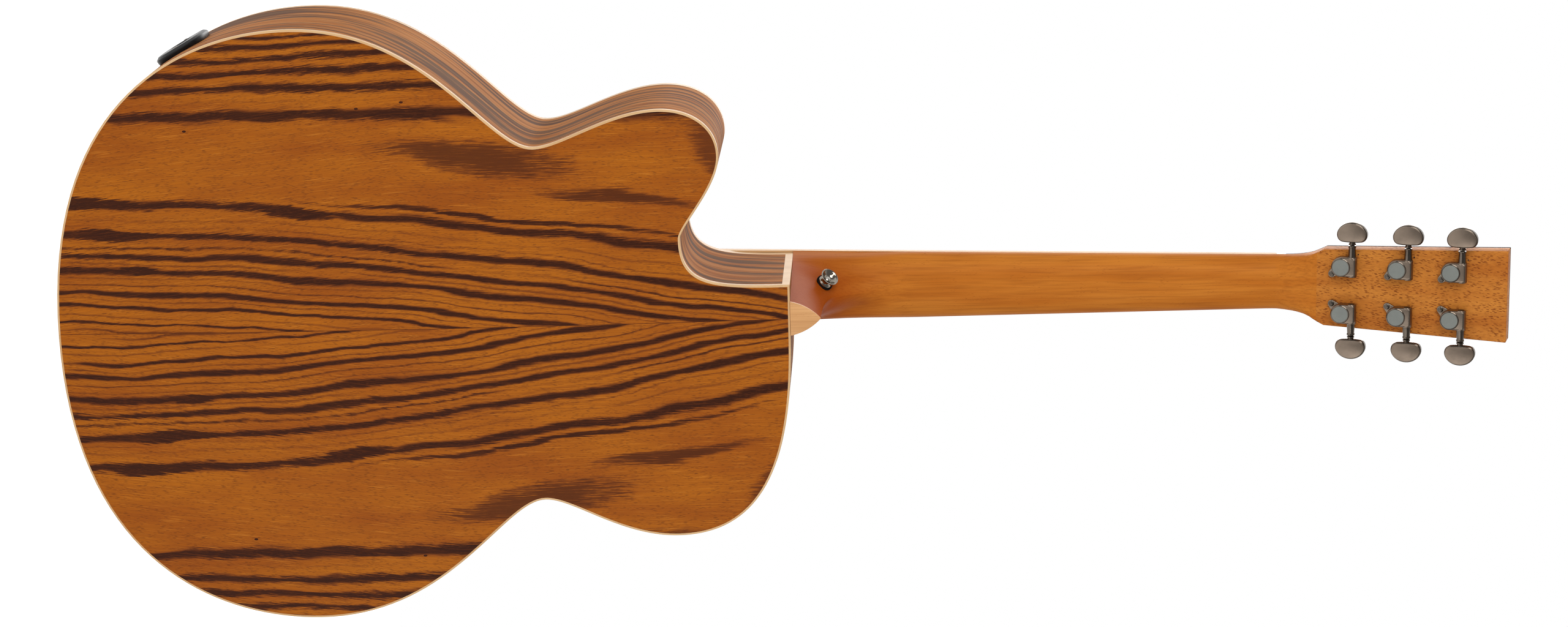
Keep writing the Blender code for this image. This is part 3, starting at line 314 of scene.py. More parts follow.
@dataclass(frozen=True)
class StripedWood:
    """Satin tonewood with dark ragged stripes, book-matched on the back."""

    clear: tuple = rgb(190, 108, 16)
    warm: tuple = rgb(166, 86, 12)
    light: tuple = rgb(214, 134, 44)
    halo: tuple = rgb(116, 56, 18)
    dark: tuple = rgb(50, 20, 8)
    tan: tuple = rgb(198, 142, 90)
    russet: tuple = rgb(158, 98, 56)
    fibre_lean: float = 0.11
    pore: tuple = rgb(92, 44, 16)
    roughness: float = 0.46
    # Stripes as (distance from the seam at the tail, half-width, darkness), in mm
    stripes: tuple = (
        (3, 0.8, 0.7), (8, 1.0, 0.9), (13, 0.7, 0.6), (20, 1.5, 0.95), (25, 0.7, 0.55), (30, 2.2, 1.0),
        (37, 0.8, 0.6), (42, 0.7, 0.5), (47, 2.6, 1.0), (52.5, 0.8, 0.6), (58, 2.3, 1.0), (64, 1.0, 0.7),
        (68, 0.7, 0.5), (73, 2.9, 1.0), (79, 0.7, 0.45), (85, 0.8, 0.5), (96, 3.5, 1.0), (109, 0.7, 0.3),
        (157, 4.2, 1.0), (166, 0.8, 0.4), (176, 3.2, 1.0), (188, 3.0, 1.0), (198, 2.6, 0.95), (207, 2.4, 0.9),
        (214, 2.0, 0.8),
    )
    # Ragged smears as (from the seam, up from the tail, half-width, half-length, lean, strength), in mm
    smears: tuple = (
        (137, 304, 8.5, 82, 0.0, 0.5), (128, 408, 5.0, 68, -0.05, 0.52), (150, 482, 3.8, 34, 0.05, 0.46),
        (170, 448, 3.0, 44, 0.0, 0.55), (95, 178, 6.0, 30, 0.0, 1.0), (73, 44, 5.0, 36, 0.0, 1.0),
        (48, 62, 4.0, 18, 0.0, 1.0), (104.5, 330, 2.6, 165, 0.0, 0.62), (97, 30, 4.5, 40, 0.0, 1.0),
    )
    # Stripes to a colour ramp, which holds 32 stops at most
    per_ramp: int = 9
    # Pin knots as (from the seam, up from the tail), in mm
    knots: tuple = ((147, 100), (157, 194), (161, 223), (165, 255))

    def _leaning(self, across: Sock, along: Sock) -> Sock:
        """Distance across the fine fibres, which lean near the tail."""
        return across - along.low(250.0) * self.fibre_lean

    def _streaks(self, web: Web, across: Sock, along: Sock, seed: float) -> tuple[Sock, Sock]:
        """Wobble of the grain and its fine ragged teeth.

        Args:
            web: The shader.
            across: Distance across the grain.
            along: Distance along the grain.
            seed: Shifts the noise.

        Returns:
            The slow wobble and the teeth, in mm.
        """
        slow = (web.noise(along / 95.0, across / 42.0, seed, 1.0) - 0.5) * 12.0
        middle = (web.noise(along / 30.0, across / 9.0, seed + 4.0, 2.0) - 0.5) * 4.2
        fibre = web.noise(along / 15.0, self._leaning(across, along) / 0.8, seed + 9.0, 3.0, 0.7) - 0.5
        ragged = web.noise(along / 55.0, across / 22.0, seed + 15.0, 1.0).step(0.3, 0.58)
        return slow + middle, fibre * (2.2 + ragged * 11.0 * across.step(12.0, 100.0))

    def _lines(self, web: Web, place: Sock, reach: float) -> Sock:
        """Darkness of the listed stripes at a distance from the seam.

        Args:
            web: The shader.
            place: The warped distance in mm.
            reach: The largest distance the ramps cover.

        Returns:
            Darkness from 0 to 1.
        """
        share = place / reach
        bands = []
        for start in range(0, len(self.stripes), self.per_ramp):
            group = self.stripes[start:start + self.per_ramp]
            stops = [((centre + half * side) / reach, depth if side == 0 else 0.0)
                     for centre, half, depth in group for side in (-1.5, 0, 1.5)]
            bands.append(web.ramp(share, sorted(stops)))
        return reduce(Sock.high, bands)

    def _colour(self, web: Web, dark: Sock, across: Sock, along: Sock, seed: float) -> tuple[Sock, Sock]:
        """Wood colour from its darkness, with fine grain and pores.

        Args:
            web: The shader.
            dark: Darkness of the stripes.
            across: Distance across the grain in mm.
            along: Distance along the grain in mm.
            seed: Shifts the noise.

        Returns:
            The colour and a pore mask.
        """
        broad = web.noise(along / 130.0, across / 28.0, seed + 21.0, 2.0)
        leaning = self._leaning(across, along)
        fine = web.noise(along / 34.0, leaning / 0.55, seed + 25.0, 3.0, 0.6)
        base = web.mix(broad.step(0.3, 0.72), self.clear, self.warm)
        shine = web.noise(along / 26.0, leaning / 0.7, seed + 43.0, 2.0)
        base = web.mix((fine - 0.5) * 1.1 + 0.30, base, self.halo)
        base = web.mix(shine.step(0.56, 0.76) * 0.45, base, self.light)
        toned = web.mix(dark.step(0.10, 0.46) * 0.8, base, self.halo)
        deep = web.mix(fine.step(0.46, 0.78) * 0.55, self.dark, self.halo)
        toned = web.mix(dark.step(0.30, 0.66) * 0.96, toned, deep)
        lengthwise = web.cells(along / 4.6, leaning / 0.45, seed + 31.0)
        gate = web.noise(along / 9.0, across / 3.0, seed + 37.0, 1.0).step(0.36, 0.54)
        pore = lengthwise.step(0.38, 0.22) * gate
        return web.mix(pore * 0.66, toned, self.pore), pore

    def back(self) -> bpy.types.Material:
        """The book-matched back, mirrored at the seam."""
        web = Web("striped_back")
        x, _, z = web.place()
        up = z - TAIL_Z / MM
        bass = x < 0.0
        across = abs(x) * (1.0 - bass * 0.06)
        along = up - bass * 34.0
        pull = abs(across).step(168.0, 88.0)
        drift = along.high(0.0) ** 1.75 * 0.00098 * (pull * 1.04 - 0.04)
        slow, teeth = self._streaks(web, across, along, 2.0)
        place = across + drift + slow
        fading = web.noise(along / 85.0, place / 6.0, 61.0, 1.0).step(0.22, 0.46) * 0.75 + 0.25
        dark = self._lines(web, place + teeth, 230.0) * fading
        feather = web.noise(along / 24.0, self._leaning(across, along) / 1.0, 51.0, 3.0, 0.68)
        for centre, height, half, reach, lean, strength in self.smears:
            off = (place - centre + (along - height) * lean + teeth * 0.35) / half
            run = (along - height) / reach
            blob = 1.0 - off * off - run * run
            smear = (blob * 1.2 + (feather - 0.5) * 3.2).step(-0.3, 1.0) * (blob + 1.1).step(0.0, 1.0)
            dark = dark.high(smear * strength)
        clear_zone = web.noise(along / 60.0, across / 2.2, 71.0, 2.0).step(0.6, 0.82) * 0.2
        dark = dark.high(clear_zone)
        dark = dark.high(abs(x).step(0.35, 0.1) * 0.5).high(self._knots(across, along))
        colour, pore = self._colour(web, dark, across, along, 3.0)
        gloss = web.noise(along / 40.0, across / 1.2, 81.0, 2.0) * 0.08 + self.roughness - 0.04 + pore * 0.15
        relief = web.bump(1.0 - pore, 0.00006, 0.5)
        return web.dress(Base_Color=colour, Roughness=gloss, Normal=relief, Specular_IOR_Level=0.12)

    def _knots(self, across: Sock, along: Sock) -> Sock:
        """Darkness of the few pin knots in the clear wood."""
        spots = []
        for from_seam, up in self.knots:
            off, run = (across - from_seam) / 0.9, (along - up) / 1.6
            spots.append((off * off + run * run).step(1.2, 0.3))
        return reduce(Sock.high, spots)

    def side(self) -> bpy.types.Material:
        """A bent side, with stripes that run along the rim."""
        web = Web("striped_side")
        along, across = web.unwrapped()
        slow, teeth = self._streaks(web, across, along, 12.0)
        wander = (web.noise(along / 260.0, across / 90.0, 5.0, 1.0) - 0.5) * 30.0
        place = across + slow * 0.8 + wander + along * 0.012
        jagged = place + teeth * 0.55
        bands = web.noise(along / 240.0, jagged / 9.0, 18.0, 2.0, 0.6)
        dark = bands.step(0.46, 0.60) * 0.95
        thin = web.noise(along / 160.0, jagged / 3.2, 28.0, 1.0).step(0.6, 0.78) * 0.35
        dark = dark.high(thin)
        colour, pore = self._colour(web, dark, across, along, 13.0)
        patches = web.noise(along / 120.0, jagged / 6.0, 33.0, 2.0).step(0.35, 0.7)
        tan = web.mix(patches, self.tan, self.russet)
        softer = web.mix(0.6, colour, tan)
        softer = web.mix(dark * 0.75, softer, rgb(84, 64, 54))
        gloss = web.noise(along / 40.0, across / 1.2, 83.0, 2.0) * 0.08 + 0.48
        relief = web.bump(1.0 - pore, 0.00006, 0.5)
        return web.dress(Base_Color=softer, Roughness=gloss, Normal=relief, Specular_IOR_Level=0.01)


@dataclass(frozen=True)
class PlainWood:
    """Straight-grained wood with lines, pores and slow changes of colour, and optional painted shade on the
    heel flank.
    """

    name: str
    light: tuple
    deep: tuple
    pore: tuple
    roughness: float = 0.36
    line_width: float = 1.1
    line_depth: float = 0.35
    pore_gate: float = 0.5
    pore_strength: float = 0.6
    pore_long: float = 4.2
    pore_wide: float = 0.62
    pore_size: float = 0.24
    lean: float = 0.0
    specular: float = 0.4
    unwrapped: bool = False
    # Painted shade: a darker colour on the heel's flank near the body joint, towards its back
    heel_painted_shade: tuple | None = None

    def material(self) -> bpy.types.Material:
        """Build the wood."""
        web = Web(self.name)
        if self.unwrapped:
            along, across = web.unwrapped()
            round_way: Value = 0.0
        else:
            across, round_way, along = web.place()
        wobble = (web.noise(along / 120.0, across / 25.0, 3.0, 1.0) - 0.5) * 5.0
        place = across + wobble
        side = round_way / self.line_width
        broad = web.noise(along / 110.0, place / 14.0, 7.0, 2.0)
        fine = web.noise(along / 55.0, place / self.line_width, side, 3.0, 0.6)
        colour = web.mix(broad.step(0.32, 0.7), self.light, self.deep)
        colour = web.mix((fine.step(0.38, 0.74)) * self.line_depth, colour, self.pore)
        # Painted shade on the heel: darker near the body joint and towards the back of the heel
        if self.heel_painted_shade:
            low = along.step((JOINT_Z + 0.085) / MM, (JOINT_Z + 0.018) / MM)
            back = round_way.step(-6.0, 34.0)
            colour = web.mix(low * back * 0.85, colour, self.heel_painted_shade)
        shifted = (place - along * self.lean) / self.pore_wide
        dots = web.cells(along / self.pore_long, shifted, round_way / 1.4)
        gate = web.noise(along / 12.0, place / 5.0, 17.0, 1.0)
        gate = gate.step(self.pore_gate - 0.08, self.pore_gate + 0.1)
        pores = dots.step(self.pore_size, self.pore_size * 0.6) * gate
        colour = web.mix(pores * self.pore_strength, colour, self.pore)
        gloss = fine * 0.08 + self.roughness - 0.03 + pores * 0.12
        relief = web.bump(1.0 - pores, 0.00005, 0.45)
        return web.dress(Base_Color=colour, Roughness=gloss, Normal=relief, Specular_IOR_Level=self.specular)


@dataclass(frozen=True)
class Metal:
    """Polished or satin metal with faint smudges and fine brushing."""

    name: str
    colour: tuple
    worn: tuple
    roughness: float = 0.2
    brushed: float = 0.0

    def material(self) -> bpy.types.Material:
        """Build the metal."""
        web = Web(self.name)
        x, y, z = web.place()
        smudge = web.noise(x / 7.0, y / 7.0, z / 7.0, 3.0, 0.6)
        grain = web.noise(x / 0.9, y / 0.9, z / 6.0, 2.0)
        colour = web.mix(smudge.step(0.35, 0.75), self.colour, self.worn)
        gloss = smudge * 0.12 + grain * self.brushed + self.roughness - 0.04
        relief = web.bump(grain, 0.00001, self.brushed * 4.0)
        return web.dress(Base_Color=colour, Metallic=1.0, Roughness=gloss, Normal=relief)


@dataclass(frozen=True)
class WoundString:
    """Bronze-wound string, or plain steel for the two highest."""

    name: str
    colour: tuple
    winding: float

    def material(self) -> bpy.types.Material:
        """Build the string's metal with its winding as relief."""
        web = Web(self.name)
        x, y, z = web.place()
        turns = ((z * 0.95 + y * 0.3) * (2 * math.pi / self.winding)).sine() * 0.5 + 0.5
        tarnish = web.noise(x / 4.0, y / 4.0, z / 30.0, 3.0, 0.6)
        colour = web.mix(tarnish.step(0.4, 0.8) * 0.5, self.colour, rgb(120, 92, 60))
        relief = web.bump(turns, 0.00006, 0.7 if self.winding < 1.0 else 0.0)
        return web.dress(Base_Color=colour, Metallic=1.0, Roughness=tarnish * 0.15 + 0.2, Normal=relief)


@dataclass(frozen=True)
class Moulded:
    """Moulded plastic, bone or felt, told apart by its grain and sheen."""

    name: str
    colour: tuple
    shade: tuple
    roughness: float = 0.4
    grain: float = 0.4
    relief: float = 0.00003
    specular: float = 0.5

    def material(self) -> bpy.types.Material:
        """Build the material."""
        web = Web(self.name)
        x, y, z = web.place()
        cloud = web.noise(x / 9.0, y / 9.0, z / 9.0, 3.0, 0.6)
        pebble = web.noise(x / self.grain, y / self.grain, z / self.grain, 2.0)
        colour = web.mix(cloud.step(0.3, 0.75), self.colour, self.shade)
        gloss = cloud * 0.1 + pebble * 0.08 + self.roughness - 0.08
        return web.dress(Base_Color=colour, Roughness=gloss, Normal=web.bump(pebble, self.relief, 0.6),
                         Specular_IOR_Level=self.specular)


@dataclass(frozen=True)
class RosetteRings:
    """Inlaid rings round the sound hole, by distance from its centre."""

    name: str = "rosette_rings"

    def material(self) -> bpy.types.Material:
        """Build the rings."""
        web = Web(self.name)
        x, _, z = web.place()
        off = z - SOUND_HOLE_Z / MM
        radius = (x * x + off * off) ** 0.5
        share = (radius - 55.5) / 7.0
        black, cream = rgb(24, 18, 14), rgb(226, 200, 150)
        stops = [(0.0, black), (0.09, black), (0.1, cream), (0.17, cream), (0.18, black), (0.26, black),
                 (0.27, rgb(120, 66, 26)), (0.72, rgb(96, 50, 20)), (0.73, black), (0.81, black),
                 (0.82, cream), (0.89, cream), (0.9, black), (1.0, black)]
        grain = web.noise(x / 2.0, z / 9.0, radius / 0.5, 2.0)
        colour = web.mix((grain - 0.5) * 0.6 + 0.2, web.ramp(share, stops), rgb(40, 24, 14), "MULTIPLY")
        return web.dress(Base_Color=colour, Roughness=grain * 0.1 + 0.3, Specular_IOR_Level=0.5)


class Finishes:
    """Every material of the guitar, each built once."""

    def __init__(self) -> None:
        """Build the materials."""
        wood = StripedWood()
        self.back = wood.back()
        self.side = wood.side()
        # The neck's darker heel colour is painted shade on the heel flank near the body
        self.neck = PlainWood("neck_wood", rgb(200, 122, 44), rgb(184, 104, 32), rgb(118, 54, 20),
                              roughness=0.42, line_width=1.6, line_depth=0.32, pore_gate=0.56,
                              pore_strength=0.5, specular=0.04, heel_painted_shade=rgb(152, 62, 6)).material()
        self.headstock = PlainWood("headstock_wood", rgb(202, 128, 52), rgb(182, 106, 38), rgb(116, 52, 18),
                                   roughness=0.46, line_width=1.3, line_depth=0.30, pore_gate=0.40,
                                   pore_long=5.0, pore_wide=0.9, pore_size=0.42, pore_strength=0.8,
                                   lean=-0.10, specular=0.08).material()
        self.spruce = PlainWood("spruce_top", rgb(232, 190, 120), rgb(222, 174, 100), rgb(176, 116, 58),
                                roughness=0.34, line_width=0.9, line_depth=0.5, pore_gate=0.9).material()
        self.brace = PlainWood("spruce_brace", rgb(226, 196, 146), rgb(214, 180, 126), rgb(170, 128, 80),
                               roughness=0.6, line_width=1.0, line_depth=0.4, pore_gate=0.9).material()
        self.maple = PlainWood("maple_trim", rgb(226, 188, 140), rgb(212, 170, 120), rgb(180, 134, 88),
                               roughness=0.4, line_width=0.5, line_depth=0.35, pore_gate=0.8, specular=0.2,
                               unwrapped=True).material()
        self.maple_plain = PlainWood("maple_plain", rgb(226, 174, 120), rgb(212, 158, 104), rgb(178, 122, 74),
                                     roughness=0.42, line_width=0.6, line_depth=0.45, pore_gate=0.56,
                                     pore_strength=0.45, specular=0.2).material()
        self.dark = PlainWood("dark_board", rgb(54, 34, 24), rgb(38, 24, 18), rgb(16, 10, 8), roughness=0.5,
                              line_width=0.9, line_depth=0.6, pore_gate=0.45).material()
        self.smoked = Metal("smoked_metal", rgb(137, 122, 108), rgb(128, 114, 101), 0.32, 0.02).material()
        self.smoked_rim = Metal("smoked_bright", rgb(112, 102, 92), rgb(102, 93, 84), 0.14).material()
        self.gunmetal = Metal("gunmetal_screw", rgb(100, 92, 84), rgb(80, 74, 68), 0.3).material()
        self.cap = Moulded("cover_cap", rgb(124, 127, 121), rgb(118, 121, 116), 0.42, 0.6, 0.00001,
                           0.35).material()
        self.nickel = Metal("polished_nickel", rgb(156, 148, 136), rgb(138, 130, 118), 0.1).material()
        self.steel = Metal("screw_steel", rgb(190, 184, 174), rgb(150, 144, 136), 0.22).material()
        self.fret = Metal("fret_wire", rgb(206, 200, 188), rgb(184, 176, 164), 0.18).material()
        self.bronze = WoundString("bronze_winding", rgb(206, 150, 84), 0.42).material()
        self.plain_steel = WoundString("plain_steel", rgb(206, 204, 198), 2.0).material()
        self.felt = Moulded("black_felt", rgb(20, 19, 19), rgb(30, 28, 27), 0.95, 0.35, 0.00025,
                            0.1).material()
        self.black = Moulded("black_plastic", rgb(13, 13, 14), rgb(19, 19, 20), 0.3, 0.3, 0.00002,
                             0.22).material()
        self.bone = Moulded("bone", rgb(238, 232, 214), rgb(226, 216, 190), 0.36, 1.2, 0.00001).material()
        self.pearl = Moulded("pearl_dots", rgb(222, 224, 220), rgb(196, 204, 206), 0.2, 2.0,
                             0.00001).material()
        # Near-black finish that stands for the dark inside of small holes: painted shade
        self.hole = Moulded("dark_recess", rgb(14, 11, 9), rgb(20, 15, 12), 0.6, 1.0).material()
        self.rosette = RosetteRings().material()


# Mesh helpers


def link(name: str, mesh: bpy.types.Mesh, material: bpy.types.Material | None) -> bpy.types.Object:
    """Put a mesh in the scene as an object at the origin."""
    made = bpy.data.objects.new(name, mesh)
    bpy.context.scene.collection.objects.link(made)
    if material:
        mesh.materials.append(material)
    return made


def mesh_of(name: str, build: Callable[[bmesh.types.BMesh], None],
            place: Matrix | None = None) -> bpy.types.Mesh:
    """A mesh with outward faces from a function that fills a bmesh.

    Args:
        name: The mesh's name.
        build: Fills the bmesh.
        place: Moves it before it is stored.

    Returns:
        The mesh.
    """
    bm = bmesh.new()
    build(bm)
    bmesh.ops.remove_doubles(bm, verts=bm.verts, dist=2e-6)
    if place is not None:
        bmesh.ops.transform(bm, matrix=place, verts=bm.verts)
    bmesh.ops.recalc_face_normals(bm, faces=bm.faces)
    mesh = bpy.data.meshes.new(name)
    bm.to_mesh(mesh)
    bm.free()
    return mesh


def soften(piece: bpy.types.Object, degrees: float = 32.0) -> bpy.types.Object:
    """Smooth shading with the sharp edges kept."""
    piece.data.shade_smooth()
    piece.data.set_sharp_from_angle(angle=math.radians(degrees))
    return piece


def bevelled(piece: bpy.types.Object, width: float, segments: int, degrees: float) -> bpy.types.Object:
    """Round a piece's edges and store the result in its mesh.

    Args:
        piece: The piece.
        width: The rounding in metres.
        segments: Steps of the rounding.
        degrees: Edges sharper than this are rounded.

    Returns:
        The same piece.
    """
    edges = piece.modifiers.new("edges", "BEVEL")
    edges.width = width
    edges.segments = segments
    edges.limit_method = "ANGLE"
    edges.angle_limit = math.radians(degrees)
    return settled(piece)


def settled(piece: bpy.types.Object) -> bpy.types.Object:
    """Replace a piece's mesh by its evaluated one and drop the modifiers."""
    bpy.context.view_layer.update()
    evaluated = piece.evaluated_get(bpy.context.evaluated_depsgraph_get())
    mesh = bpy.data.meshes.new_from_object(evaluated)
    piece.modifiers.clear()
    piece.data = mesh
    return piece


def joined(name: str, pieces: Iterable[bpy.types.Object]) -> bpy.types.Object:
    """One object from several, each a closed shell of it, with their materials kept.

    Args:
        name: The new piece's name.
        pieces: What to join; they are removed.

    Returns:
        The joined piece.
    """
    bm = bmesh.new()
    materials: list[bpy.types.Material] = []
    for piece in list(pieces):
        start = len(bm.faces)
        lookup = []
        for material in piece.data.materials:
            if material not in materials:
                materials.append(material)
            lookup.append(materials.index(material))
        bm.from_mesh(piece.data)
        bm.faces.ensure_lookup_table()
        for face in bm.faces[start:]:
            face.material_index = lookup[face.material_index] if lookup else 0
        bpy.data.objects.remove(piece, do_unlink=True)
    mesh = bpy.data.meshes.new(name)
    bm.to_mesh(mesh)
    bm.free()
    made = link(name, mesh, None)
    for material in materials:
        mesh.materials.append(material)
    return made


def skin(bm: bmesh.types.BMesh, rings: Sequence[Ring], closed: bool = False) -> None:
    """Faces between equal rings of points.

    Args:
        bm: The open bmesh.
        rings: The rings, in order.
        closed: Whether the last ring joins the first; if not, both ends are filled.
    """
    rows = [[bm.verts.new(point) for point in ring] for ring in rings]
    count = len(rows[0])
    for low, high in zip(rows, rows[1:] + rows[:1] if closed else rows[1:]):
        for k in range(count):
            bm.faces.new((low[k], low[(k + 1) % count], high[(k + 1) % count], high[k]))
    if not closed:
        bm.faces.new(rows[0])
        bm.faces.new(list(reversed(rows[-1])))


def lofted(name: str, rings: Sequence[Ring], material: bpy.types.Material, place: Matrix | None = None,
           degrees: float = 32.0, closed: bool = False) -> bpy.types.Object:
    """A smooth solid over rings; closed makes it a tube whose last ring joins the first."""
    mesh = mesh_of(name, lambda bm: skin(bm, rings, closed), place)
    return soften(link(name, mesh, material), degrees)


def turned(name: str, profile: Sequence[Point], material: bpy.types.Material, place: Matrix, sides: int,
           degrees: float = 32.0) -> bpy.types.Object:
    """A solid of revolution about local Z.

    Args:
        name: The piece's name.
        profile: (radius, height) in mm.
        material: Its finish.
        place: From local axes to the guitar's.
        sides: Segments round the axis.
        degrees: Edges sharper than this stay sharp.

    Returns:
        The piece.
    """
    rings = [[Vector((x, y, height * MM)) for x, y in disc(max(radius, 0.02) * MM, sides)]
             for radius, height in profile]
    return lofted(name, rings, material, place, degrees)


def plate(name: str, loop: Sequence[Point], low: float, high: float, material: bpy.types.Material,
          place: Matrix, round_edge: float = 0.0, segments: int = 3) -> bpy.types.Object:
    """A flat outline in local XZ with thickness along local Y, its edges rounded.

    Args:
        name: The piece's name.
        loop: (x, z) in mm.
        low: Y of one face in mm.
        high: Y of the other face in mm.
        material: Its finish.
        place: From local axes to the guitar's.
        round_edge: Rounding of the rims in mm.
        segments: Steps of the rounding.

    Returns:
        The piece.
    """
    rings = [[Vector((x * MM, y * MM, z * MM)) for x, z in loop] for y in (low, high)]
    made = link(name, mesh_of(name, lambda bm: skin(bm, rings), place), material)
    if round_edge:
        bevelled(made, round_edge * MM, segments, 40.0)
    return soften(made)


def disc(radius: float, sides: int, centre: Point = (0.0, 0.0)) -> list[Point]:
    """A circle of points."""
    angles = [2 * math.pi * k / sides for k in range(sides)]
    return [(centre[0] + radius * math.cos(a), centre[1] + radius * math.sin(a)) for a in angles]


def hull(points: Sequence[Point]) -> list[Point]:
    """The convex outline round some points."""
    ordered = sorted(set(points))

    def half(run: Iterable[Point]) -> list[Point]:
        """One side of the hull."""
        kept: list[Point] = []
        for p in run:
            while len(kept) > 1:
                (ax, ay), (bx, by) = kept[-2], kept[-1]
                if (bx - ax) * (p[1] - ay) - (by - ay) * (p[0] - ax) > 0:
                    break
                kept.pop()
            kept.append(p)
        return kept[:-1]
    return half(ordered) + half(reversed(ordered))


def cut(piece: bpy.types.Object, tool: bpy.types.Object) -> bpy.types.Object:
    """Cut one piece with another, which is used up."""
    change = piece.modifiers.new("cut", "BOOLEAN")
    change.operation = "DIFFERENCE"
    change.object = tool
    change.solver = "EXACT"
    settled(piece)
    bpy.data.objects.remove(tool, do_unlink=True)
    return piece


def mirrored(right: Sequence[Point]) -> list[Point]:
    """A closed loop from its right half, the left half first."""
    return [(-x, y) for x, y in right] + list(reversed(right))


def facing(way: Vector, axis: str = "Z") -> Matrix:
    """The turn that points a local axis in a direction."""
    return way.to_track_quat(axis, "Y").to_matrix().to_4x4()


def bezier(start: Vector, first: Vector, second: Vector, end: Vector, t: float) -> Vector:
    """A point of a cubic curve."""
    s = 1 - t
    return s ** 3 * start + 3 * s * s * t * first + 3 * s * t * t * second + t ** 3 * end


def bezier_path(nodes: Sequence[tuple], steps: int) -> list[Vector]:
    """Points along nodes of (a, b, heading in, heading out, handle in, handle out).

    Args:
        nodes: The nodes in mm, headings in degrees.
        steps: Points per stretch.

    Returns:
        The points in metres, ends included.
    """
    points = []
    for here, there in zip(nodes, nodes[1:]):
        start, end = Vector(here[:2]) * MM, Vector(there[:2]) * MM
        out_way, in_way = math.radians(here[3]), math.radians(there[2])
        first = start + here[5] * MM * Vector((math.cos(out_way), math.sin(out_way)))
        second = end - there[4] * MM * Vector((math.cos(in_way), math.sin(in_way)))
        points += [bezier(start, first, second, end, k / steps) for k in range(steps)]
    points.append(Vector(nodes[-1][:2]) * MM)
    return points


def smoothstep(low: float, high: float, value: float) -> float:
    """0 below low, 1 above high, smooth between."""
    t = min(max((value - low) / (high - low), 0.0), 1.0)
    return t * t * (3 - 2 * t)


def between(table: Sequence[Point], value: float) -> float:
    """A value read off a short table, in straight lines between its points and level beyond them."""
    if value <= table[0][0]:
        return table[0][1]
    for (a, low), (b, high) in zip(table, table[1:]):
        if value <= b:
            return low + (high - low) * (value - a) / (b - a)
    return table[-1][1]


# Geometry nodes


class Grower(Graph):
    """A Geometry Nodes tree that repeats one shape, with named inputs."""

    def __init__(self, name: str) -> None:
        """Start an empty tree with a geometry in and out."""
        super().__init__(bpy.data.node_groups.new(name, "GeometryNodeTree"))
        for way in ("INPUT", "OUTPUT"):
            self.tree.interface.new_socket("Geometry", in_out=way, socket_type="NodeSocketGeometry")
        self.source = self.add("NodeGroupInput")
        self.values: dict[str, object] = {}

    def size(self, label: str, value: float | int | bpy.types.Object) -> bpy.types.NodeSocket:
        """Add a named input.

        Args:
            label: Its name.
            value: Its value; the type picks the socket.

        Returns:
            The socket inside the tree.
        """
        kinds = {float: "NodeSocketFloat", int: "NodeSocketInt", bpy.types.Object: "NodeSocketObject"}
        kind = next(kinds[k] for k in kinds if isinstance(value, k))
        made = self.tree.interface.new_socket(label, in_out="INPUT", socket_type=kind)
        self.values[made.identifier] = value
        return self.source.outputs[label]

    def sum(self, operation: str, first: object, second: object) -> bpy.types.NodeSocket:
        """One Math node on two values."""
        return self.add("ShaderNodeMath", {"operation": operation}, {0: first, 1: second}).outputs[0]

    def grow(self, name: str, geometry: bpy.types.NodeSocket, material: bpy.types.Material,
             carrier: bpy.types.Mesh | None = None) -> bpy.types.Object:
        """End the tree, run it on a carrier and keep the plain mesh.

        Args:
            name: The new piece's name.
            geometry: What the tree has made.
            material: Its finish.
            carrier: The mesh that the tree starts from.

        Returns:
            The piece, with no modifier left.
        """
        real = self.add("GeometryNodeRealizeInstances", None, {0: geometry}).outputs[0]
        dressed = self.add("GeometryNodeSetMaterial", None, {"Geometry": real, "Material": material})
        self.add("NodeGroupOutput", None, {0: dressed.outputs[0]})
        piece = link(name, carrier or bpy.data.meshes.new(name), None)
        change = piece.modifiers.new("grow", "NODES")
        change.node_group = self.tree
        for identifier, value in self.values.items():
            change[identifier] = value
        settled(piece)
        if not piece.data.materials:
            piece.data.materials.append(material)
        return soften(piece)


def scattered(name: str, shape: bpy.types.Object, places: Sequence[Matrix],
              material: bpy.types.Material) -> bpy.types.Object:
    """Copies of a small shape at given places, by Geometry Nodes.

    Args:
        name: The new piece's name.
        shape: The shape round the origin; it is used up.
        places: A matrix for each copy.
        material: Its finish.

    Returns:
        One piece with all the copies.
    """
    carrier = bpy.data.meshes.new(name)
    carrier.from_pydata([m.translation for m in places], [], [])
    turn = carrier.attributes.new("turn", "FLOAT_VECTOR", "POINT")
    for k, m in enumerate(places):
        turn.data[k].vector = m.to_euler()
    grower = Grower(name + "_tree")
    body = grower.size("Shape", shape)
    scale = grower.size("Size", 1.0)
    info = grower.add("GeometryNodeObjectInfo", None, {"Object": body})
    stored = grower.add("GeometryNodeInputNamedAttribute", {"data_type": "FLOAT_VECTOR"}, {"Name": "turn"})
    turns = grower.add("FunctionNodeEulerToRotation", None, {0: stored.outputs["Attribute"]})
    placed = grower.add("GeometryNodeInstanceOnPoints", None, {
        "Points": grower.source.outputs["Geometry"], "Instance": info.outputs["Geometry"],
        "Rotation": turns.outputs[0], "Scale": scale})
    made = grower.grow(name, placed.outputs[0], material, carrier)
    bpy.data.objects.remove(shape, do_unlink=True)
    return made


# Shape rules


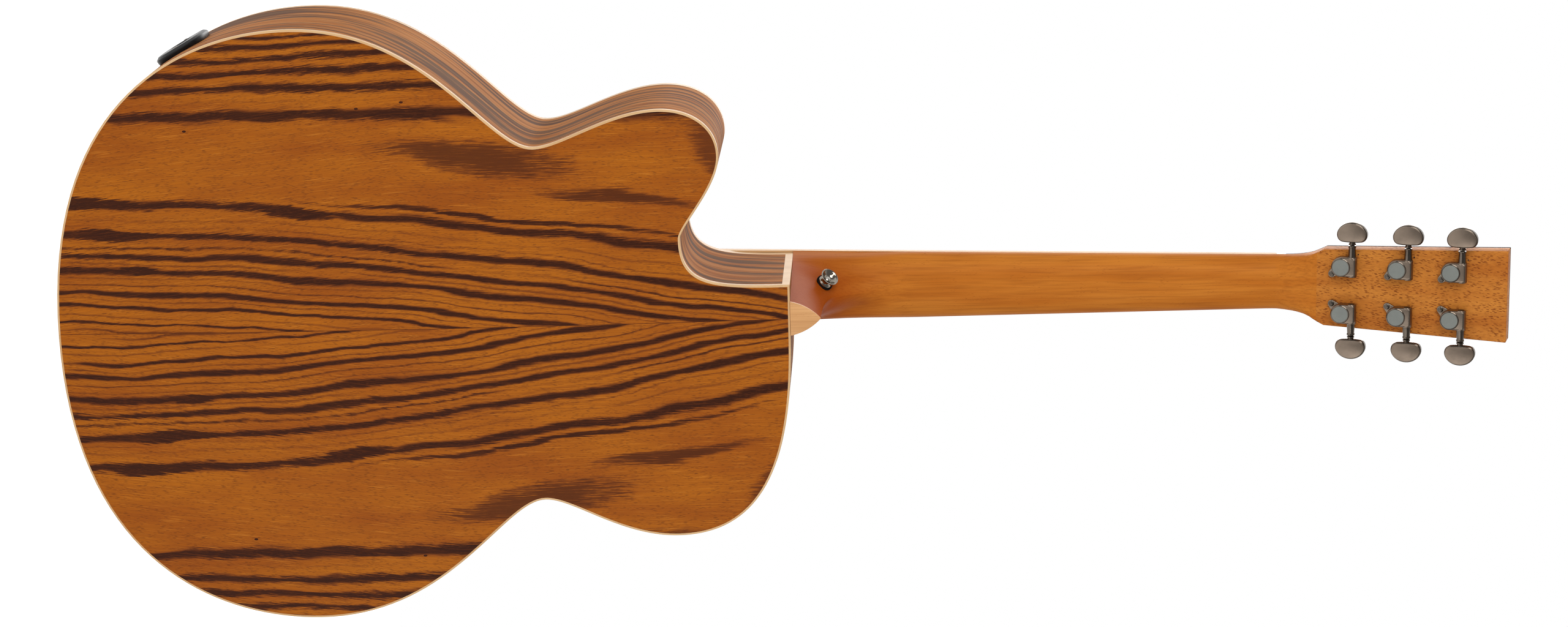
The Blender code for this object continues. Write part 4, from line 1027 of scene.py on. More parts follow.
def body_outline(steps: int = 34) -> list[Vector]:
    """The rim seen from the front, clockwise from the tail, as (x, z)."""
    bass = [
        (0, -527, 180, 180, 0, 175), (-218, -349, 90, 90, 74, 97), (-130.5, -180.5, 90, 90, 31, 20),
        (-161, -84, 90, 90, 42, 45.5), (-18, 0, 0, 0, 114.4, 0),
    ]
    treble = [
        (25.2, 0, 270, 270, 0, 57), (61.2, -77.6, 0, 0, 33.4, 8.9), (120.5, -48.8, 0, 0, 22, 21.7),
        (155.3, -91, 270, 270, 23.4, 35.5), (130.5, -180.5, 270, 270, 20, 31), (218, -349, 270, 270, 97, 74),
        (0, -527, 180, 180, 175, 0),
    ]
    points = bezier_path(bass, steps) + bezier_path(treble, steps)[:-1]
    return [Vector((p.x, p.y + JOINT_Z)) for p in points]


def inset(path: Sequence[Vector], distance: float, closed: bool = True) -> list[Vector]:
    """A clockwise outline moved inwards, with mitred corners.

    Args:
        path: Points as (x, z).
        distance: How far inwards.
        closed: Whether the path's ends meet.

    Returns:
        The moved points.
    """
    moved = []
    count = len(path)
    for k, point in enumerate(path):
        before = (point - path[k - 1]).normalized()
        after = (path[(k + 1) % count] - point).normalized()
        if not closed and k == 0:
            before = after
        if not closed and k == count - 1:
            after = before
        first, second = Vector((before.y, -before.x)), Vector((after.y, -after.x))
        moved.append(point + (first + second) * (distance / (1 + first.dot(second))))
    return moved


def back_y(x: float, z: float) -> float:
    """Depth of the back's outer face."""
    along = (JOINT_Z - z) / BODY_LENGTH
    taper = HEEL_SIDE_DEPTH + (TAIL_SIDE_DEPTH - HEEL_SIDE_DEPTH) * along
    reach = (z - DOME_CENTRE_Z) ** 2 - (JOINT_Z - DOME_CENTRE_Z) ** 2
    return taper - (x * x + reach) / (2 * BACK_DOME_RADIUS)


def glue_y(z: float) -> float:
    """Depth of the plane where neck and fretboard meet."""
    return (z - JOINT_Z) * math.tan(NECK_SET)


def board_half(z: float) -> float:
    """Half the neck's width at a height."""
    slope = (TWELFTH_FRET_WIDTH - NUT_WIDTH) / (SCALE_LENGTH / 2)
    return (NUT_WIDTH + slope * (NUT_Z - z)) / 2


def fret_z(number: int) -> float:
    """Height of a fret."""
    return NUT_Z - SCALE_LENGTH * (1 - 2 ** (-number / 12))


def arched(z: float, half: float, low: float, high: float, arch: float = FRETBOARD_ARCH,
           steps: int = 12) -> Ring:
    """A section in a plane of constant height, flat below and arched above.

    Args:
        z: The plane.
        half: Half the width.
        low: Depth of the flat face.
        high: Depth of the arched face at its edges.
        arch: Rise of its middle.
        steps: Straight runs over the arch.

    Returns:
        The points.
    """
    points = [Vector((half, low, z)), Vector((-half, low, z))]
    for k in range(steps + 1):
        x = -half + 2 * half * k / steps
        points.append(Vector((x, high - arch * (1 - (x / half) ** 2), z)))
    return points


# Sub-assemblies


@dataclass
class Body:
    """Plates, sides, bindings and end strips."""

    finishes: Finishes
    plate_depth: float = 2.8 * MM
    side_depth: float = 2.4 * MM
    strip_width: float = 5.4 * MM
    tail_strip_width: float = 5.0 * MM
    # Rim points above this height are never part of the tail
    upper_z: float = -0.6
    outline: list[Vector] = field(default_factory=body_outline)

    def build(self) -> list[bpy.types.Object]:
        """Build and dress every piece of the body.

        Returns:
            The new pieces.
        """
        pieces = [self.back(), self.soundboard(), self.rosette()]
        pieces += [self.binding(Edge.SOUNDBOARD), self.binding(Edge.BACK)]
        pieces += self.sides()
        pieces += [self.strip("tail_strip"), self.strip("cutaway_strip")]
        for node in ("soundboard_lining", "back_lining", "soundboard_bracing", "back_bracing"):
            repaint(node, self.finishes.brace)
        for node in ("neck_block", "tail_block"):
            repaint(node, self.finishes.neck)
        repaint("bridge_plate", self.finishes.maple_plain)
        return pieces

    def _domed(self, ring: Sequence[Vector], below: float = 0.0) -> Ring:
        """Points of (x, z) laid on the back, or below its face."""
        return [Vector((p.x, back_y(p.x, p.y) - below, p.y)) for p in ring]

    def back(self) -> bpy.types.Object:
        """The domed back between its bindings."""
        edge = inset(self.outline, BINDING_WIDTH)
        centre = Vector((0.0, JOINT_Z - 0.2))
        rounds = [[centre.lerp(p, share) for p in edge] for share in [0.002] + [k / 22 for k in range(1, 23)]]
        inner = [self._domed(ring, self.plate_depth) for ring in rounds[::3] + rounds[-1:]]
        outer = [self._domed(ring) for ring in reversed(rounds)]
        made = lofted("back_plate", inner + outer, self.finishes.back, degrees=50.0)
        return settle(made, ROOT, "back_wood", "back")

    def soundboard(self) -> bpy.types.Object:
        """The flat top with its sound hole and the channel for the rosette."""
        edge = inset(self.outline, BINDING_WIDTH)
        hole_centre = Vector((0.0, SOUND_HOLE_Z))
        aims = [(p - hole_centre).normalized() for p in edge]

        def circle(radius: float) -> list[Vector]:
            """Points of a circle in the rim points' directions."""
            return [hole_centre + aim * radius for aim in aims]
        hole, inner, outer = circle(SOUND_HOLE_RADIUS), circle(55.6 * MM), circle(62.1 * MM)
        levels = [(circle(50.4 * MM), 0.0), (inner, 0.0), (inner, 1.0), (outer, 1.0), (outer, 0.0),
                  (edge, 0.0), (edge, 2.8), (hole, 2.8), (hole, 0.4)]
        rings = [[Vector((p.x, depth * MM, p.y)) for p in ring] for ring, depth in levels]
        made = lofted("soundboard_plate", rings, self.finishes.spruce, closed=True)
        return settle(made, ROOT, "top_wood", "soundboard")

    def rosette(self) -> bpy.types.Object:
        """The inlaid ring."""
        levels = [(55.7, 0.0), (62.0, 0.0), (62.0, 0.95), (55.7, 0.95)]
        rings = [[Vector((x, depth * MM, z)) for x, z in disc(radius * MM, 128, (0.0, SOUND_HOLE_Z))]
                 for radius, depth in levels]
        made = lofted("rosette_inlay", rings, self.finishes.rosette, closed=True)
        return settle(made, ROOT, "dark_wood", "rosette")

    def _sweep(self, name: str, path: Sequence[Vector], closed: bool, section: Section,
               material: bpy.types.Material) -> bpy.types.Object:
        """A section carried along the rim, with its UV map in metres.

        Args:
            name: The piece's name.
            path: Rim points as (x, z).
            closed: Whether the rim closes on itself.
            section: From (x, z) on the rim to points of (inset, y).
            material: Its finish.

        Returns:
            The piece.
        """
        count = len(path)
        run = [0.0]
        for a, b in zip(path, list(path[1:]) + [path[0]]):
            run.append(run[-1] + (b - a).length)
        insets: dict[float, list[Vector]] = {}

        def shifted(distance: float) -> list[Vector]:
            """The path moved inwards."""
            if distance not in insets:
                insets[distance] = inset(path, distance, closed) if distance else list(path)
            return insets[distance]
        sections = [section(p.x, p.y) for p in path]
        size = len(sections[0])
        bm = bmesh.new()
        layer = bm.loops.layers.uv.new("UVMap")
        rows = []
        for k, points in enumerate(sections):
            spots = [(shifted(distance)[k], y) for distance, y in points]
            rows.append([bm.verts.new((spot.x, y, spot.y)) for spot, y in spots])
        for k in range(count if closed else count - 1):
            n = (k + 1) % count
            for j in range(size):
                i = (j + 1) % size
                face = bm.faces.new((rows[k][j], rows[k][i], rows[n][i], rows[n][j]))
                spots = ((run[k], j), (run[k], i), (run[k + 1], i), (run[k + 1], j))
                for loop, (along, place) in zip(face.loops, spots):
                    distance, y = sections[k][place]
                    loop[layer].uv = (along, y - distance)
        if not closed:
            bm.faces.new(rows[0])
            bm.faces.new(list(reversed(rows[-1])))
        bmesh.ops.recalc_face_normals(bm, faces=bm.faces)
        mesh = bpy.data.meshes.new(name)
        bm.to_mesh(mesh)
        bm.free()
        return soften(link(name, mesh, material), 40.0)

    def binding(self, edge: Edge) -> bpy.types.Object:
        """A pale strip round one rim, its outer corner eased."""
        ease = 0.7 * MM
        angles = [math.pi / 2 * k / 4 for k in range(5)]
        corner = [(ease * (1 - math.sin(a)), ease * (1 - math.cos(a))) for a in angles]

        def section(x: float, z: float) -> list[Point]:
            """Points of (inset, y) round the strip."""
            front = edge is Edge.SOUNDBOARD
            face, way = (0.0, 1) if front else (back_y(x, z), -1)
            low = face + way * (TOP_BINDING_HEIGHT if front else BACK_BINDING_HEIGHT)
            strip = [(0.0, low), (BINDING_WIDTH, low), (BINDING_WIDTH, face)]
            return [(d, face + way * r) for d, r in corner] + strip
        name = edge.value + "_binding"
        made = self._sweep(name + "_strip", self.outline, True, section, self.finishes.maple)
        return settle(made, ROOT, "maple_trim", name)

    def sides(self) -> list[bpy.types.Object]:
        """The two bent sides."""
        corner = next(k for k, p in enumerate(self.outline)
                      if abs(p.x - CORNER_X) < 1e-6 and abs(p.y - JOINT_Z) < 1e-6)
        half_tail = self.tail_strip_width / 2
        low = JOINT_Z - self.strip_width
        bass = [p for p in self.outline[1:corner] if p.x < -half_tail or p.y > self.upper_z]
        bass = [Vector((-half_tail, TAIL_Z))] + bass + [Vector((CORNER_X - self.side_depth, JOINT_Z))]
        treble = [p for p in self.outline[corner + 1:]
                  if p.y < low - 1 * MM and (p.x > half_tail + 1 * MM or p.y > self.upper_z)]
        treble = [Vector((CORNER_X, low))] + treble + [Vector((half_tail, TAIL_Z))]
        pieces = []
        for name, path in (("bass_side", bass), ("treble_side", treble)):
            made = self._sweep(name + "_wood", path, False, self._wall(4), self.finishes.side)
            pieces.append(settle(made, ROOT, "side_wood", name))
        return pieces

    def _wall(self, steps: int) -> Section:
        """The section of a side from binding to binding, its outer face in some steps."""
        def section(x: float, z: float) -> list[Point]:
            """Points of (inset, y) round the side."""
            low, high = TOP_BINDING_HEIGHT, back_y(x, z) - BACK_BINDING_HEIGHT
            outer = [(0.0, low + (high - low) * k / steps) for k in range(steps + 1)]
            return outer + [(self.side_depth, high), (self.side_depth, low)]
        return section

    def strip(self, node: str) -> bpy.types.Object:
        """A short pale strip between the ends of the sides."""
        if node == "tail_strip":
            half = self.tail_strip_width / 2
            path = [Vector((half, TAIL_Z)), Vector((-half, TAIL_Z))]
        else:
            path = [Vector((CORNER_X, JOINT_Z)), Vector((CORNER_X, JOINT_Z - self.strip_width))]
        made = self._sweep(node + "_wood", path, False, self._wall(1), self.finishes.maple)
        return settle(made, ROOT, "maple_trim", node)


def repaint(node: str, material: bpy.types.Material) -> None:
    """Give a CAD node that stays visible a better material."""
    piece = FRAME["nodes"][node]
    piece.data.materials.clear()
    piece.data.materials.append(material)


def settle(piece: bpy.types.Object, body: str, slot: str, *nodes: str) -> bpy.types.Object:
    """Attach a piece to the body it rides on and hide the CAD nodes it stands for.

    Args:
        piece: The finished piece.
        body: The CAD body it moves with.
        slot: The record's material slot; not used.
        nodes: CAD nodes it replaces.

    Returns:
        The same piece.
    """
    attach(piece, body)
    if nodes:
        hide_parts(*nodes)
    return piece


@dataclass
class Neck:
    """Neck with its heel, headstock, fretboard, binding and nut."""

    finishes: Finishes
    depth_at_nut: float = 15.2 * MM
    depth_at_heel: float = 18.0 * MM
    cap_half: float = 12.5 * MM
    cap_length: float = 22 * MM
    heel_seat: float = 104.3 * MM
    blend_end: float = 96 * MM
    arch_lean: float = 0.345
    pitch: float = math.radians(15.8)
    head_length: float = 171 * MM
    scarf: float = 32.2 * MM
    head_corner: float = 37.6 * MM
    section_steps: int = 22
    ridge_half: float = 0.12 * MM
    # Climb of the heel's ridge for each mm in front of its shallowest point: steady, and by the square
    spine_climb: tuple = (12, 6)
    button_up: float = 23.4 * MM
    button_y: float = 38.7 * MM
    spine: list[Vector] = field(default_factory=list)
    corner: Vector = field(default_factory=lambda: Vector((0, glue_y(NUT_Z), NUT_Z)))

    def __post_init__(self) -> None:
        """Work out the heel's ridge."""
        end_z = JOINT_Z + self.blend_end
        end_y = (glue_y(end_z) + self.depth(end_z)) / MM
        nodes = [
            (self.cap_length / MM, self.heel_seat / MM, -90, -89, 0, 42), (34, 38.5, -24, -24, 9, 18),
            (self.blend_end / MM, end_y, 1, 1, 30, 0),
        ]
        self.spine = bezier_path(nodes, 22)

    @property
    def head(self) -> Matrix:
        """From the headstock's own axes to the guitar's."""
        return Matrix.Translation(self.corner) @ Matrix.Rotation(-NECK_SET - self.pitch, 4, "X")

    def depth(self, z: float) -> float:
        """Thickness below the glue plane."""
        t = (z - JOINT_Z) / (NUT_Z - JOINT_Z)
        return self.depth_at_heel + (self.depth_at_nut - self.depth_at_heel) * t

    def _spine_up(self, y: float) -> float:
        """Height of the heel's ridge at a depth."""
        if y >= self.spine[0].y:
            return self.spine[0].x
        for high, low in zip(self.spine, self.spine[1:]):
            if low.y <= y:
                return high.x + (low.x - high.x) * (high.y - y) / (high.y - low.y)
        lowest = min(self.spine, key=lambda p: p.y)
        above = (lowest.y - y) / MM
        steady, growing = self.spine_climb
        return lowest.x + (steady * above + growing * above ** 2) * MM

    def arch(self, wide: float, tall: float, up: float) -> float:
        """Half-width of a pointed arch at a height; its arcs lean in from the base."""
        if up >= tall:
            return 0.0
        centre = (wide ** 2 - (1 + 2 * self.arch_lean) * tall ** 2) / (2 * wide)
        drop = self.arch_lean * tall
        radius = math.hypot(wide - centre, drop)
        return max(math.sqrt(max(radius ** 2 - (up + drop) ** 2, 0.0)) + centre, 0.0)

    def half(self, up: float, rise: float, depth: float, z: float) -> float:
        """Half-width of the neck's section at a share of its depth.

        Args:
            up: Height above the body joint.
            rise: Share of the depth, 0 at the glue plane.
            depth: The section's depth.
            z: The section's height.

        Returns:
            Half the width.
        """
        wide = board_half(z) - 0.05 * MM
        y = glue_y(z) + rise * depth
        share = min(max(y / self.heel_seat, 0.0), 1.0)
        foot = self.cap_half + (wide - self.cap_half) * (1 - share ** 0.9)
        prow = self.arch(foot, self._spine_up(y), up)
        rounded = wide * max(1 - rise ** 2.25, 0.0) ** (1 / 2.25)
        blend = smoothstep(40 * MM, 94 * MM, up)
        return max(prow + (rounded - prow) * blend, self.ridge_half)

    def _ring(self, z: float, end_y: float) -> Ring:
        """One section in a plane of constant height."""
        top = glue_y(z)
        depth = end_y - top
        shallow = min(depth, self.depth_at_nut)
        right = []
        for k in range(self.section_steps + 1):
            share = k / self.section_steps
            drop = shallow * math.sin(math.pi / 2 * share) + (depth - shallow) * share ** 2.5
            right.append((self.half(z - JOINT_Z, drop / depth, depth, z), top + drop))
        return [Vector((x, y, z)) for x, y in mirrored(right)]

    def head_half(self, along: float) -> float:
        """Half the headstock's width at a distance from the nut."""
        flare = [(0, 20.6), (6, 20.8), (12, 21.2), (18, 21.9), (23.7, 22.9), (28, 24.2), (32.2, 26.1),
                 (37.6, 28.8), (171, 34.2)]
        return between(flare, along / MM) * MM

    def _head_ring(self, along: float) -> Ring:
        """One section of the transition from neck to headstock."""
        mm = along / MM
        places = (-9, -3, 4, 10, 16, 22, 27, 32.2)
        tilts = (0, 2.5, 7, 11, 14.5, 15.8, 15.8, 15.8)
        depths = (15.15, 14.9, 14.6, 14.1, 13.6, 13.2, 13.05, 13.0)
        powers = (2.25, 2.3, 2.45, 2.7, 3.1, 4.2, 8, 30)
        tilt, depth, power = (between(list(zip(places, row)), mm) for row in (tilts, depths, powers))
        angle = -NECK_SET - (self.pitch if along > 0 else 0.0)
        face = Matrix.Rotation(angle, 4, "X") @ Vector((0, 0, along))
        turn = Matrix.Rotation(-NECK_SET - math.radians(tilt), 3, "X")
        right = []
        for k in range(self.section_steps + 1):
            rise = math.sin(math.pi / 2 * k / self.section_steps)
            wide = self.head_half(max(along, 0)) * max(1 - rise ** power, 0.0) ** (1 / power)
            right.append((max(wide, self.ridge_half), depth * MM * rise))
        return [self.corner + face + turn @ Vector((x, y, 0)) for x, y in mirrored(right)]

    def neck(self) -> bpy.types.Object:
        """Neck and heel up to the scarf joint, over the truss rod."""
        foot = [JOINT_Z + JOINT_GAP + (self.cap_length - 0.3 * MM) * k / 13 for k in range(14)]
        start = JOINT_Z + self.blend_end
        shaft = [start + (NUT_Z - 11 * MM - start) * k / 24 for k in range(1, 25)]
        head = [-8, -6, -4, -2] + [0.5 + 2 * k for k in range(16)] + [self.scarf / MM]
        rings = [self._ring(z, self.heel_seat) for z in foot]
        rings += [self._ring(JOINT_Z + up, depth) for up, depth in self.spine]
        rings += [self._ring(z, glue_y(z) + self.depth(z)) for z in shaft]
        rings += [self._head_ring(along * MM) for along in head]
        made = lofted("neck_and_heel", rings, self.finishes.neck, degrees=38.0)
        return settle(made, ROOT, "neck_wood", "neck", "truss_rod")

    def heel_cap(self) -> bpy.types.Object:
        """The pale pointed cap on the heel."""
        ups = [self.cap_length * k / 24 for k in range(24)]
        right = [(self.arch(self.cap_half, self.cap_length, up) / MM, (JOINT_Z + up + JOINT_GAP) / MM)
                 for up in ups]
        loop = right + [(0.0, (JOINT_Z + self.cap_length) / MM)] + [(-x, z) for x, z in reversed(right)]
        made = plate("heel_cap_plate", loop, self.heel_seat / MM, HEEL_SIDE_DEPTH / MM,
                     self.finishes.maple_plain, HERE, 0.25, 2)
        return settle(made, ROOT, "maple_trim", "heel_cap")

    def headstock(self) -> list[bpy.types.Object]:
        """Headstock with eased edges, and its front veneer."""
        start = self.scarf - 0.9 * MM
        rim = [(self.head_half(a) / MM, a / MM) for a in (start, self.head_corner, self.head_length)]
        wood = plate("headstock_wood", mirrored(rim), 0.0, HEAD_DEPTH / MM, self.finishes.headstock,
                     self.head)
        settle(soften(bevelled(wood, 0.9 * MM, 3, 60.0)), ROOT, "neck_wood", "headstock")
        places = (6.5, 9, 12, 15, 18, 21, 23.7, 28, 32.2, 37.6)
        side = [(self.head_half(a * MM) / MM, a) for a in places] + [rim[-1]]
        face = side + [(-x, z) for x, z in reversed(side)]
        veneer = plate("headstock_face", face, -2.0, -0.02, self.finishes.dark, self.head, 0.3, 2)
        settle(veneer, ROOT, "dark_wood", "headstock_veneer")
        return [wood, veneer]

    def fretboard(self) -> list[bpy.types.Object]:
        """Board, frets, position dots, pale edge strips and nut."""
        edge = 1.5 * MM
        reach = NUT_Z - 0.3 * MM - FRETBOARD_END_Z - edge
        stations = [FRETBOARD_END_Z + edge + reach * k / 12 for k in range(13)]
        stations = sorted(stations + [JOINT_Z, JOINT_Z + 0.05 * MM])

        def face(z: float) -> float:
            """Depth of the board's upper face at its edge."""
            return glue_y(z) - FRETBOARD_THICKNESS + FRETBOARD_ARCH

        def bottom(z: float) -> float:
            """Depth of the board's lower face."""
            return glue_y(z) - GLUE_GAP if z > JOINT_Z else -GLUE_GAP
        rings = [arched(z, board_half(z) - edge, bottom(z), face(z)) for z in stations]
        board = lofted("fretboard_wood", rings, self.finishes.dark)
        settle(board, ROOT, "dark_wood", "fretboard")
        frets = settle(self._frets(edge), ROOT, "nickel")
        strip = self._edge_strip(edge, stations, bottom, face)
        settle(strip, ROOT, "maple_trim", "fretboard_binding")
        dots = settle(self._dots(face), ROOT, "bone")
        low = glue_y(NUT_Z) - GLUE_GAP
        crown = ((0.0, 7.0), (0.6, 7.25), (1.4, NUT_CROWN), (3.2, 6.7), (4.6, 5.9), (5.0, 5.4))
        rings = [arched(NUT_Z + along * MM, NUT_WIDTH / 2, low, low - height * MM) for along, height in crown]
        nut = settle(lofted("nut_bone", rings, self.finishes.bone), ROOT, "bone", "nut")
        return [board, frets, strip, dots, nut]

    def _frets(self, edge: float) -> bpy.types.Object:
        """All frets by one rule, spaced by the twelfth root of two."""
        grower = Grower("fret_row")
        count = grower.size("Frets", FRETS)
        scale = grower.size("Scale length", SCALE_LENGTH)
        crown = grower.size("Crown height", 1.1 * MM)
        nut_half = grower.size("Half width at nut", NUT_WIDTH / 2 - edge)
        slope = grower.size("Widening", (TWELFTH_FRET_WIDTH - NUT_WIDTH) / SCALE_LENGTH)
        index = grower.add("GeometryNodeInputIndex").outputs[0]
        do = grower.sum
        power = do("DIVIDE", do("ADD", index, 1.0), -12.0)
        run = do("MULTIPLY", scale, do("SUBTRACT", 1.0, do("POWER", 2.0, power)))
        height = do("SUBTRACT", NUT_Z, run)
        rise = do("MULTIPLY", do("SUBTRACT", height, JOINT_Z), math.tan(NECK_SET))
        depth = do("SUBTRACT", rise, FRETBOARD_THICKNESS - FRETBOARD_ARCH - 0.35 * MM)
        spot = grower.add("ShaderNodeCombineXYZ", None, {0: 0.0, 1: depth, 2: height}).outputs[0]
        points = grower.add("GeometryNodePoints", None, {"Count": count, "Position": spot})
        arc = grower.add("GeometryNodeCurveQuadraticBezier", None, {
            "Resolution": 14, "Start": (-1.0, 0.0, 0.0), "Middle": (0.0, -2 * FRETBOARD_ARCH, 0.0),
            "End": (1.0, 0.0, 0.0)})
        bead = grower.add("GeometryNodeCurvePrimitiveCircle", None, {"Resolution": 12, "Radius": crown})
        wire = grower.add("GeometryNodeCurveToMesh", None, {
            "Curve": arc.outputs[0], "Profile Curve": bead.outputs[0], "Fill Caps": True})
        wide = do("ADD", nut_half, do("MULTIPLY", slope, run))
        stretch = grower.add("ShaderNodeCombineXYZ", None, {0: wide, 1: 1.0, 2: 1.0}).outputs[0]
        placed = grower.add("GeometryNodeInstanceOnPoints", None, {
            "Points": points.outputs[0], "Instance": wire.outputs[0], "Scale": stretch})
        return grower.grow("fret_wires", placed.outputs[0], self.finishes.fret)

    def _dots(self, face: Callable[[float], float]) -> bpy.types.Object:
        """Position dots between the frets."""
        shape = turned("dot_shape", [(3.0, -0.6), (3.0, 0.0), (2.8, 0.05)], self.finishes.pearl, HERE, 32)
        turn = Matrix.Rotation(math.pi / 2 - NECK_SET, 4, "X")
        pair = 10 * MM
        places = []
        for number, x in ((3, 0), (5, 0), (7, 0), (9, 0), (12, pair), (12, -pair), (15, 0), (17, 0), (19, 0)):
            z = (fret_z(number) + fret_z(number - 1)) / 2
            drop = FRETBOARD_ARCH * (1 - (x / board_half(z)) ** 2)
            places.append(Matrix.Translation((x, face(z) - drop + 0.01 * MM, z)) @ turn)
        return scattered("position_dots", shape, places, self.finishes.pearl)

    def _edge_strip(self, edge: float, stations: Sequence[float], bottom: Callable[[float], float],
                    face: Callable[[float], float]) -> bpy.types.Object:
        """The pale strips along both sides of the board and across its end."""
        pieces = []
        for hand in Hand:
            rings = []
            for z in [FRETBOARD_END_Z] + list(stations):
                outer, low, high = board_half(z), bottom(z), face(z)
                xs = (outer - edge, outer, outer, outer - 0.5 * MM, outer - edge)
                ys = (low, low, high + 0.35 * MM, high, high)
                rings.append([Vector((hand.value * x, y, z)) for x, y in zip(xs, ys)])
            pieces.append(self._unwrapped("edge_strip_" + hand.name.lower(), rings))
        end = FRETBOARD_END_Z
        ends = [arched(z, board_half(end) - edge, bottom(end), face(end)) for z in (end, end + edge)]
        pieces.append(self._unwrapped("edge_strip_end", ends))
        return joined("fretboard_edges", pieces)

    def _unwrapped(self, name: str, rings: Sequence[Ring]) -> bpy.types.Object:
        """A pale strip over rings, with UVs along the guitar in metres."""
        made = lofted(name, rings, self.finishes.maple)
        layer = made.data.uv_layers.new(name="UVMap")
        for loop in made.data.loops:
            spot = made.data.vertices[loop.vertex_index].co
            layer.data[loop.index].uv = (spot.z, spot.x + spot.y)
        return made

    def _flank(self, up: float, y: float) -> Vector:
        """The heel's surface on the cutaway side at a height and depth."""
        z = JOINT_Z + up
        end_y = self.heel_seat
        for a, b in zip(self.spine, self.spine[1:]):
            if a.x <= up <= b.x:
                end_y = a.y + (b.y - a.y) * (up - a.x) / (b.x - a.x)
        depth = end_y - glue_y(z)
        return Vector((self.half(up, (y - glue_y(z)) / depth, depth, z), y, z))

    def button_place(self) -> Matrix:
        """Where the strap button stands on the heel, square to its flank."""
        up, y, small = self.button_up, self.button_y, 2 * MM
        upward = self._flank(up + small, y) - self._flank(up - small, y)
        backward = self._flank(up, y + small) - self._flank(up, y - small)
        outward = backward.cross(upward).normalized()
        return Matrix.Translation(self._flank(up, y) + outward * BUTTON_GAP) @ facing(outward)

    def build(self) -> list[bpy.types.Object]:
        """Build and dress every piece of the neck."""
        return [self.neck(), self.heel_cap()] + self.headstock() + self.fretboard()


def phillips(radius: float, material: bpy.types.Material, dome: float = 0.35) -> bpy.types.Object:
    """A cross-slot screw head that stands on local XY and faces +Z.

    Args:
        radius: Of the head, in mm.
        material: Its finish.
        dome: Rise of the head's middle, in mm.

    Returns:
        The head, at the origin.
    """
    profile = [(radius, -0.25), (radius, 0.25), (radius * 0.92, 0.4), (radius * 0.7, 0.4 + dome * 0.6),
               (radius * 0.4, 0.4 + dome * 0.9), (radius * 0.1, 0.4 + dome)]
    head = turned("screw_head", profile, material, HERE, 32)
    arm, width = radius * 0.62, radius * 0.2
    loop = [(width, width), (width, arm), (-width, arm), (-width, width), (-arm, width), (-arm, -width),
            (-width, -width), (-width, -arm), (width, -arm), (width, -width), (arm, -width), (arm, width)]
    slot = plate("screw_slot", loop, -3.0, 0.1, material, UPRIGHT)
    return soften(cut(head, slot))


